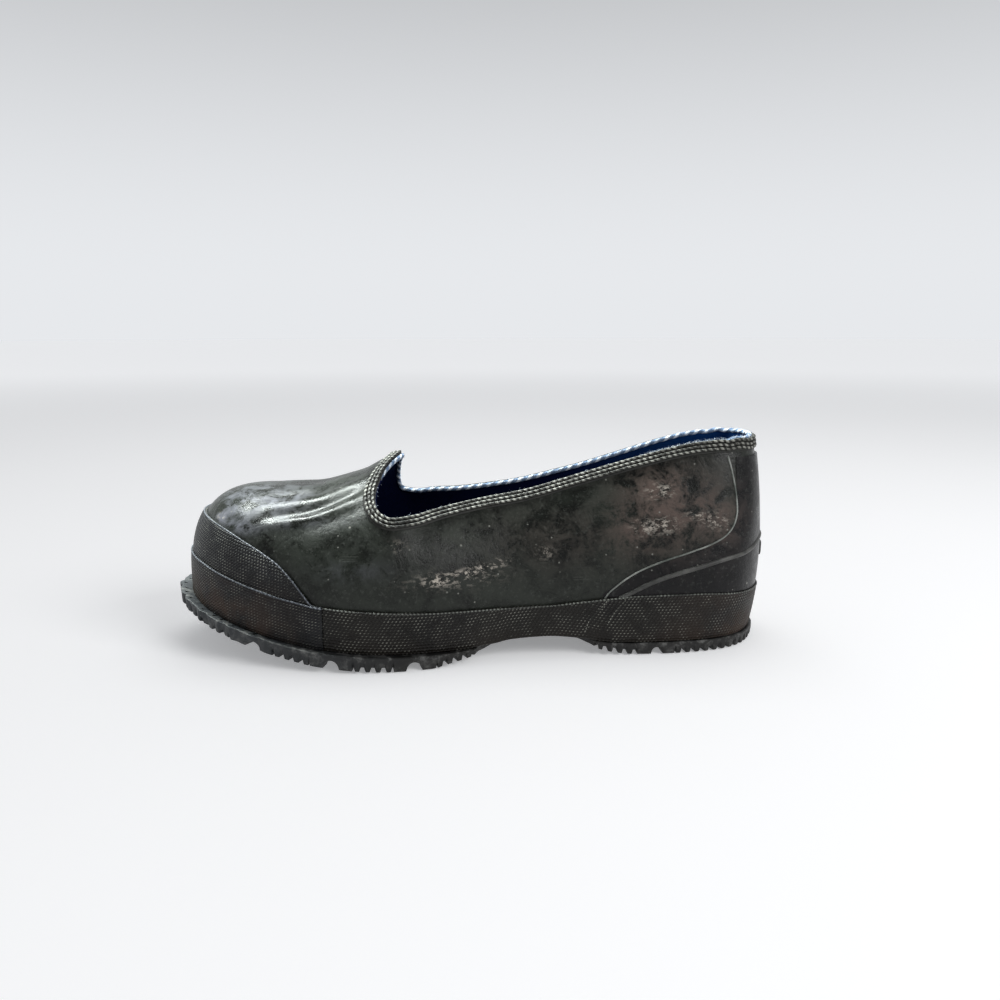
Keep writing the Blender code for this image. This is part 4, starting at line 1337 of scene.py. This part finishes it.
def make_foxing(look, bead_look):
    """Textured band from joint to joint round the heel, with its raised edge."""
    start = float(outline_at(JOINT, 1)) + 0.0002 - 1.0
    end = float(outline_at(JOINT, -1)) - 0.0002
    columns = np.linspace(start, end, FOXING_COLUMNS)
    station = rim(columns)[:, 0]
    low = level("foxing_low", station)
    top = level("foxing_top", station)
    full = np.full(len(columns), GAP + FOXING)
    shares = (0.0, 0.02, 0.12, 0.25, 0.38, 0.5, 0.62, 0.75, 0.86)
    heights = [low + (top - 0.9 - low) * t for t in shares] + [top - 0.9, top - 0.45, top - 0.1, top]
    offsets = [full - 0.35] + [full] * 9 + [full - 0.12, full - 0.55, full - 1.2]
    inner = [np.full(len(columns), 0.12)] * len(heights)
    seated = level("welt", station) > -FOXING - GAP - 0.3

    # Browner towards the heel and the bottom
    def brown_tint(points):
        rear = np.clip((70.0 - points[:, 0]) / 60.0, 0.0, 1.0)
        low_down = np.clip((20.0 - points[:, 2]) / 16.0, 0.0, 1.0)
        return np.clip(rear * (0.35 + 0.5 * low_down) + 0.12 * low_down, 0.0, 1.0)

    strip("foxing_band", columns, heights, offsets, inner, seated, look, "foxing", brown_tint)
    flat = place(np.mod(columns, 1.0), top - 0.35)
    raised_line("foxing_edge_line", flat, GAP + FOXING - 0.25, BEAD, bead_look, "foxing")


def make_bumper(look, bead_look):
    """Toe bumper in two tiers, with raised lines at its top and middle."""
    start = float(outline_at(JOINT, -1)) + 0.0002
    end = float(outline_at(JOINT, 1)) - 0.0002
    columns = np.linspace(start, end, WRAP_COLUMNS)
    station = rim(columns)[:, 0]
    low = level("foxing_low", station)
    middle = read(BUMPER, BUMPER_COLUMNS, "middle", station)
    top = read(BUMPER, BUMPER_COLUMNS, "top", station)
    rise = top - middle
    lower = np.full(len(columns), GAP + BUMPER_LOW)
    upper = np.full(len(columns), GAP + BUMPER_HIGH)
    heights = [low + (middle - 0.5 - low) * t for t in (0.0, 0.03, 0.15, 0.3, 0.45, 0.6, 0.75, 0.9, 1.0)]
    offsets = [lower - 0.3] + [lower] * 8
    heights += [middle + np.minimum(rise, 3.0) * 0.02, middle + np.minimum(rise, 3.0) * 0.12]
    offsets += [lower - 0.25, upper]
    for t in (0.2, 0.3, 0.4, 0.5, 0.6, 0.7, 0.8, 0.9):
        heights.append(middle + rise * t)
        offsets.append(upper)
    edge = np.minimum(rise, 3.0)
    heights += [top - edge * 0.25, top - edge * 0.1, top]
    offsets += [upper, upper - 0.35, upper - 0.9]
    inner = [np.full(len(columns), 0.12)] * len(heights)

    # Browner towards the toe and the bottom
    def brown_tint(points):
        low_down = np.clip((46.0 - points[:, 2]) / 30.0, 0.0, 1.0)
        front = np.clip((points[:, 0] - 235.0) / 45.0, 0.0, 1.0)
        return np.clip(low_down * front * 1.1, 0.0, 1.0)

    seated = np.ones(len(columns), bool)
    strip("toe_bumper_wrap", columns, heights, offsets, inner, seated, look, "toe_bumper", brown_tint)
    for name, high, lift in (
        ("bumper_top_line", top - 0.4, upper - 0.35), ("bumper_middle_line", middle, lower - 0.25),
    ):
        flat = place(np.mod(columns, 1.0), high)
        raised_line(name, flat, lift[:, None], BEAD, bead_look, "toe_bumper")


def counter_line():
    """Stations and heights of the counter's upper edge, from the foxing up to the collar."""
    stations = (90.5, 88.8, 83.4, 74.1, 61.7, 47.1, 34.8, 27.6, 22.8, 20.8, 20.5, 20.6, 20.9, 21.4)
    heights = (28.6, 31.2, 36.0, 42.0, 47.0, 51.4, 55.4, 59.2, 64.8, 71.2, 78.0, 85.0, 92.5, 98.0)
    return stations, heights


def make_counter(look, line_look, soft_look, print_look):
    """Heel overlay that fades out under its raised lines."""
    stations = column(COUNTER, COUNTER_COLUMNS, "station")
    start = float(outline_at(stations[-1], 1)) - 1.0
    end = float(outline_at(stations[-1], -1))
    columns = np.linspace(start, end, OVERLAY_COLUMNS)
    station = rim(columns)[:, 0]
    low = level("foxing_top", station) - 0.8
    top = np.interp(station, stations, column(COUNTER, COUNTER_COLUMNS, "outer"))
    top = np.maximum(top, low + 1.2)
    heights = [low + (top - low) * t for t in np.linspace(0.0, 1.0, 34)]
    flats = np.stack([place(np.mod(columns, 1.0), height) for height in heights], axis=1)
    base = skin(flats)
    normal = normals(flats)
    away = np.full(base.shape[:2], 1e9)
    for side in (-1, 1):
        line_stations, line_heights = counter_line()
        t = np.linspace(0.0, 1.0, len(line_stations))
        fine = np.linspace(0.0, 1.0, 110)
        flat = place(
            outline_at(smooth(t, np.array(line_stations), fine), side),
            smooth(t, np.array(line_heights), fine),
        )
        line = skin(flat)
        for point in line:
            away = np.minimum(away, np.linalg.norm(base - point, axis=-1))
    share = np.clip(away / 12.0, 0.0, 1.0)
    share = eased(share)
    thick = 0.12 + 1.15 * share
    outer = base + normal * thick[..., None]
    inner = base + normal * 0.02
    piece = sheet_piece("heel_counter_sheet", outer, inner, False, look, "heel_counter")
    face_outward(piece)
    give_wear_and_sheen(piece, outer, inner)
    low_stations = np.array((83.0, 78.7, 74.1, 64.0, 52.4, 40.9, 29.6, 18.0, 12.5, 7.1, 4.4))
    low_heights = (29.0, 31.0, 33.4, 37.8, 41.4, 44.3, 47.1, 49.2, 51.0, 53.6, 54.6)
    ats = np.concatenate((outline_at(low_stations, -1), (outline_at(low_stations, 1) - 1.0)[::-1]))
    surface_path(
        "counter_low_ridge", ats, low_heights + low_heights[::-1], 0.75, 1.3, soft_look,
        "heel_counter", 260,
    )
    line_stations, line_heights = counter_line()
    prints = (
        ("counter_print_", (89.4, 92.7, 98.1, 100.4), (28.2, 24.4, 18.4, 12.0)),
        ("counter_low_print_", (80.0, 84.2, 87.2, 89.0), (28.6, 24.0, 19.4, 16.0)),
    )
    for side, word in ((-1, "outer"), (1, "inner")):
        surface_line(
            "counter_line_" + word, line_stations, side, line_heights, 0.12,
            0.45, line_look, "heel_counter",
        )
        for name, print_stations, print_heights in prints:
            surface_line(
                name + word, print_stations, side, print_heights, GAP + FOXING - 0.12,
                0.3, print_look, "foxing", 60,
            )


def make_pad(look):
    """Plain domed pad at the back of the heel."""
    half = PAD_WIDE / 2.0 / OUTLINE_LENGTH
    columns = np.linspace(-half, half, PAD_COLUMNS)
    rows = np.linspace(-1.0, 1.0, 23)
    t = np.linspace(-1.0, 1.0, PAD_COLUMNS)
    shrink = 1.0 - 0.45 * np.abs(t) ** 5
    heights = [PAD_HEIGHT + PAD_TALL / 2.0 * r * shrink for r in rows]
    lift = []
    for r in rows:
        dome = (1.0 - np.abs(t) ** 8) * (1.0 - abs(r) ** 8)
        lift.append(1.2 + (PAD_THICK + 0.35) * dome ** 0.5)
    inner = [np.full(PAD_COLUMNS, 1.0)] * len(rows)
    strip(
        "heel_pad_plain", columns, heights, lift, inner,
        None, look, "heel_pad", lambda p: np.zeros(len(p)),
    )


def front_share(points):
    """How far the sole's grey, scuffed look of the toe reaches, from 0 to 1."""
    return np.clip((points[..., 0] - 190.0) / 90.0, 0.0, 1.0)


def make_sole(look):
    """Rim with its teeth and channels, and the field of ribs inside it."""
    count = SOLE_COLUMNS
    at = np.linspace(0.0, 1.0, 4000, endpoint=False)
    station = rim(at)[:, 0]
    flat = place(at, level("sole_top", station))
    out = level_normals(flat)
    toe = np.clip((station - JOINT) / 4.0, 0.0, 1.0)
    reach = GAP + FOXING + (BUMPER_LOW - FOXING) * toe + level("welt", station)
    lumps = sum(height * np.sin(2.0 * math.pi * turns * at + shift) for height, turns, shift in TOE_LUMPS)
    reach = reach + lumps * np.clip((station - 240.0) / 30.0, 0.0, 1.0)
    plan = (skin(flat) + out * reach[:, None])[:, :2]
    loop = np.vstack((plan, plan[:1]))
    length = lengths_along(loop)
    along = np.linspace(0.0, length[-1], count, endpoint=False)
    plan = np.stack([np.interp(along, length, loop[:, k]) for k in range(2)], axis=1)
    ahead = np.roll(plan, -1, axis=0) - np.roll(plan, 1, axis=0)
    ahead = unit(ahead)
    inward = np.stack((-ahead[:, 1], ahead[:, 0]), axis=1)
    middle = np.stack((plan[:, 0], np.zeros(count)), axis=1)
    if np.sum(inward * (middle - plan)) < 0.0:
        inward = -inward
    s = plan[:, 0]
    teeth = round(length[-1] / TOOTH)
    phase = np.mod(along / length[-1] * teeth, 1.0)
    groove = np.clip((0.31 - np.abs(phase - 0.5)) / 0.16, 0.0, 1.0)
    groove = eased(groove)
    waist = np.clip(-level("welt", s) - 1.0, 0.0, 1.0)
    groove = groove * (1.0 - waist)
    lift = 2.0 * groove
    for mid, width, depth in CHANNELS:
        off = np.abs(s - mid)
        sideways = np.abs(inward[:, 1]) > 0.55
        bar = (off < width / 2.0 + BAR) & sideways
        arch = depth * np.sqrt(np.clip(1.0 - (off / (width / 2.0)) ** 2, 0.0, 1.0))
        lift = np.where(bar, arch, lift)
        groove = np.where(bar, np.where(arch > 0.0, 0.4, 0.0), groove)
    rear = plan[:, 0].min()
    bottom = level("tread", s) + 2.6 * np.clip(1.0 - (s - rear) / 7.0, 0.0, 1.0) ** 2
    top = level("sole_top", s)
    bottom = np.minimum(bottom, top - 2.6)
    lift = np.minimum(lift, top - bottom - 2.2)
    deep = top - bottom
    rows = [
        (14.0 + 0 * s, top - 0.3),
        (2.0 + 0 * s, top - 0.02),
        (0.45 + 0 * s, top - 0.02),
        (0.0 + 0 * s, top - 0.45),
        (0.0 + 0.1 * groove, bottom + lift + (deep - lift) * 0.55),
        (0.12 + 0.6 * groove, bottom + lift + 0.9),
        (0.4 + 0.8 * groove, bottom + lift + 0.25),
        (0.95 + 0.8 * groove, bottom + lift),
        (7.2 + 0 * s, bottom + lift),
        (7.8 + 0 * s, bottom + np.minimum(2.6, deep - 2.0)),
        (14.0 + 0 * s, bottom + np.minimum(2.6, deep - 2.0)),
    ]
    sections = []
    for inset, height in rows:
        flat_place = plan + inward * inset[:, None]
        own = level("sole_top", flat_place[:, 0]) - top
        sections.append(np.concatenate((flat_place, (height + own)[:, None]), axis=1))
    sections = np.stack(sections, axis=1)
    columns, size = sections.shape[:2]
    faces = section_faces(columns, size, True)
    piece = mesh_piece("outsole_rim", sections.reshape(-1, 3), faces, None, look, "outsole", 35.0)
    face_outward(piece)
    edge = np.zeros((columns, size))
    edge[:, 1] = 0.8
    edge[:, 2] = 1.0
    edge[:, 3] = 1.0
    edge[:, 4] = 0.35
    edge[:, 5:9] = 0.45
    give(piece, "edge", edge)
    give(piece, "front", front_share(sections))
    profile = tread_profile()
    inner_plan = plan + inward * 8.4
    plain = np.arange(84.0, 172.0, 3.0)
    stations = end_stations(inner_plan, [*profile[:, 0], *plain], 10)
    depth = np.interp(stations, profile[:, 0], profile[:, 1])
    outer_side, inner_side = widths(inner_plan, stations)
    low = np.minimum(level("tread", stations) + depth + 0.1, level("sole_top", stations) - 2.4)
    high = level("sole_top", stations) - 0.1
    half = (inner_side - outer_side) / 2.0
    draft = np.minimum(0.8, half * 0.3)
    parts = ((outer_side + draft, low), (outer_side, low + 0.7), (outer_side, high), (inner_side, high))
    parts += ((inner_side, low + 0.7), (inner_side - draft, low))
    sections = np.stack([np.stack((stations, side, height), axis=1) for side, height in parts], axis=1)
    columns, size = sections.shape[:2]
    faces = section_faces(columns, size, False)
    faces.append(tuple(range(size)))
    faces.append(tuple(range((columns - 1) * size, columns * size)))
    field = mesh_piece("outsole_field", sections.reshape(-1, 3), faces, None, look, "outsole", 25.0)
    face_outward(field)
    give(field, "edge", np.full(columns * size, 0.3))
    give(field, "front", front_share(sections))


def make_insole(look):
    """Thin cloth-covered board inside the shoe."""
    at = np.linspace(0.0, 1.0, INSOLE_COLUMNS, endpoint=False)
    station = rim(at)[:, 0]
    flat = place(at, level("sole_top", station) + 1.5)
    out = level_normals(flat)
    plan = (skin(flat) - out * (WALL + 0.4))[:, :2]
    spine = np.stack((np.clip(plan[:, 0], 40.0, 262.0), np.zeros(len(plan))), axis=1)
    spine[:, 1] = section("ridge", spine[:, 0])
    rows = []
    shares = (0.0, 0.25, 0.5, 0.75, 0.9, 0.965, 1.0)
    for share in shares:
        place_flat = spine + (plan - spine) * share
        drop = 0.5 if share == 1.0 else 0.0
        height = level("sole_top", place_flat[:, 0]) + GAP + INSOLE - drop
        rows.append(np.concatenate((place_flat, height[:, None]), axis=1))
    for share in shares[::-1]:
        place_flat = spine + (plan - spine) * share
        height = level("sole_top", place_flat[:, 0]) + GAP + 0.1
        rows.append(np.concatenate((place_flat, height[:, None]), axis=1))
    grid = np.stack(rows, axis=1)
    columns, size = grid.shape[:2]
    faces, _ = grid_faces(columns, size, True)
    piece = mesh_piece("insole_board", grid.reshape(-1, 3), faces, None, look, "insole", 40.0)
    body = bmesh.new()
    body.from_mesh(piece.data)
    bmesh.ops.remove_doubles(body, verts=body.verts, dist=0.00001)
    bmesh.ops.recalc_face_normals(body, faces=body.faces)
    body.to_mesh(piece.data)
    body.free()


def area_light(name, place_m, target, size_x, size_y, power, colour=(1.0, 1.0, 1.0)):
    """Rectangular lamp that faces a target, all in metres and watts."""
    data = bpy.data.lights.new(name, "AREA")
    data.shape = "RECTANGLE"
    data.size = size_x
    data.size_y = size_y
    data.energy = power
    data.color = colour
    lamp = bpy.data.objects.new(name, data)
    bpy.context.scene.collection.objects.link(lamp)
    lamp.location = place_m
    toward = Vector(target) - Vector(place_m)
    lamp.rotation_euler = toward.to_track_quat("-Z", "Y").to_euler()
    return lamp


def make_stage():
    """Pale wide floor and a pale surround that darkens upwards, with soft studio light."""
    points = []
    for angle in np.linspace(0.0, 2.0 * math.pi, 64, endpoint=False):
        points.append((FLOOR_REACH * math.cos(angle), FLOOR_REACH * math.sin(angle), -0.0002))
    mesh = bpy.data.meshes.new("floor")
    mesh.from_pydata(points, [], [list(range(len(points)))])
    floor = bpy.data.objects.new("floor", mesh)
    bpy.context.scene.collection.objects.link(floor)
    material, tree, shader = new_material("floor_pale")
    grain = noise(tree, object_vector(tree), 3.0, 3.0)
    colour = blend_colours(tree, grain, (0.93, 0.93, 0.93), (0.95, 0.95, 0.95))
    link(tree, colour, shader.inputs["Base Color"])
    shader.inputs["Roughness"].default_value = 0.9
    shader.inputs["Specular IOR Level"].default_value = 0.1
    shader.inputs["Emission Color"].default_value = (0.97, 0.98, 1.0, 1.0)
    away = node(tree, "ShaderNodeVectorMath", {0: object_vector(tree)}, operation="LENGTH").outputs["Value"]
    glow = scaled(tree, ramp(tree, away, 0.8, 3.4), 0.23, 0.26)
    link(tree, glow, shader.inputs["Emission Strength"])
    material.cycles.emission_sampling = "NONE"
    floor.data.materials.append(material)
    world_data = bpy.data.worlds.new("studio")
    bpy.context.scene.world = world_data
    world_data.use_nodes = True
    sky = world_data.node_tree
    background = sky.nodes["Background"]
    background.inputs["Color"].default_value = (0.95, 0.97, 1.0, 1.0)
    direction = node(sky, "ShaderNodeTexCoord").outputs["Generated"]
    upward = node(sky, "ShaderNodeSeparateXYZ", {0: direction}).outputs[2]
    link(
        sky, maths(sky, "MULTIPLY_ADD", ramp(sky, upward, 0.04, 0.62), -0.56, 0.84),
        background.inputs["Strength"],
    )
    strip_lamp = area_light(
        "top_strip", (-0.25, 0.36, 1.0), (-0.05, 0.0, 0.05), 1.0, 0.15, 50.0, (0.93, 1.0, 0.97),
    )
    area_light("top_soft", (0.1, 0.5, 1.5), (0.0, 0.0, 0.0), 1.2, 1.0, 5.0)
    area_light("side_soft", (0.9, -0.8, 0.8), (0.02, 0.0, 0.04), 0.8, 0.6, 9.0)
    unlit = bpy.data.collections.new("strip_leaves_out")
    unlit.objects.link(floor)
    unlit.collection_objects[0].light_linking.link_state = "EXCLUDE"
    strip_lamp.light_linking.receiver_collection = unlit
    bpy.context.scene.view_settings.view_transform = "Standard"


def make_camera():
    """Camera with the photograph's place, direction and field of view."""
    ahead = Vector((math.sin(YAW) * math.cos(PITCH), math.cos(YAW) * math.cos(PITCH), -math.sin(PITCH)))
    right = Vector((math.cos(YAW), -math.sin(YAW), 0.0))
    down = -right.cross(ahead)
    turned_right = math.cos(ROLL) * right + math.sin(ROLL) * down
    turned_down = -math.sin(ROLL) * right + math.cos(ROLL) * down
    data = bpy.data.cameras.new("camera")
    data.sensor_width = SENSOR
    data.sensor_fit = "HORIZONTAL"
    data.lens = FOCAL_PIXELS / IMAGE_PIXELS * SENSOR
    camera = bpy.data.objects.new("camera", data)
    bpy.context.scene.collection.objects.link(camera)
    matrix = Matrix((turned_right, -turned_down, -ahead)).transposed().to_4x4()
    matrix.translation = Vector((EYE[0] + (MID_STATION - EYE_STATION) * MM, EYE[1] - MID_SIDE * MM, EYE[2]))
    camera.matrix_world = matrix
    bpy.context.scene.camera = camera


make_camera()
make_stage()
rubber_look = upper_rubber(
    "upper_rubber_worn", (0.0022, 0.0025, 0.0019), (0.0135, 0.0158, 0.0125), (0.030, 0.034, 0.028),
)
# Darker, bluish copy of the upper's rubber for the heel counter: the darker colours are painted shade, the
# dust and scuffs are wear
counter_shaded_look = upper_rubber(
    "counter_rubber_worn_and_shaded", (0.0012, 0.0012, 0.0014), (0.0035, 0.0034, 0.0038), (0.008, 0.007, 0.008),
)
make_upper(
    rubber_look, lining_cloth("lining_cloth", (0.0010, 0.0016, 0.022), (0.003, 0.032, 0.125), 0.0004),
)
tape_look = plain_rubber("tape_rubber", (0.006, 0.006, 0.005), (0.018, 0.018, 0.015), 0.6)
make_binding(cord_rubber(), tape_look, edge_cloth())
make_fuzz(plain_rubber("fibre_pale", (0.30, 0.36, 0.45), (0.66, 0.70, 0.74), 0.95))
seam_look = dashed_rubber("seam_line", 1.9, (0.02, 0.02, 0.018), (0.15, 0.16, 0.14))
foxing_look = textured_rubber(
    "foxing_texture", 1.9, 1.5, 0.63, (0.0035, 0.0030, 0.0025),
    (0.008, 0.007, 0.0055), (0.040, 0.022, 0.013),
)
make_foxing(foxing_look, seam_look)
bumper_look = textured_rubber(
    "bumper_texture", 1.7, 1.5, 1.15, (0.0045, 0.0045, 0.005),
    (0.012, 0.0125, 0.0145), (0.055, 0.033, 0.022),
)
make_bumper(bumper_look, dashed_rubber("bumper_line", 2.4, (0.045, 0.05, 0.06), (0.12, 0.13, 0.15)))
raised_look = plain_rubber("raised_line", (0.08, 0.09, 0.08), (0.26, 0.27, 0.25), 0.4)
soft_look = plain_rubber("soft_ridge", (0.030, 0.030, 0.028), (0.075, 0.075, 0.070), 0.45)
print_look = dashed_rubber("print_line", 1.7, (0.012, 0.012, 0.010), (0.22, 0.22, 0.19))
make_counter(counter_shaded_look, raised_look, soft_look, print_look)
make_pad(plain_rubber("pad_plain", (0.012, 0.012, 0.011), (0.03, 0.03, 0.028), 0.5))
make_sole(sole_rubber())
make_insole(lining_cloth("insole_cloth", (0.0006, 0.0009, 0.005), (0.003, 0.016, 0.06), 0.0003))
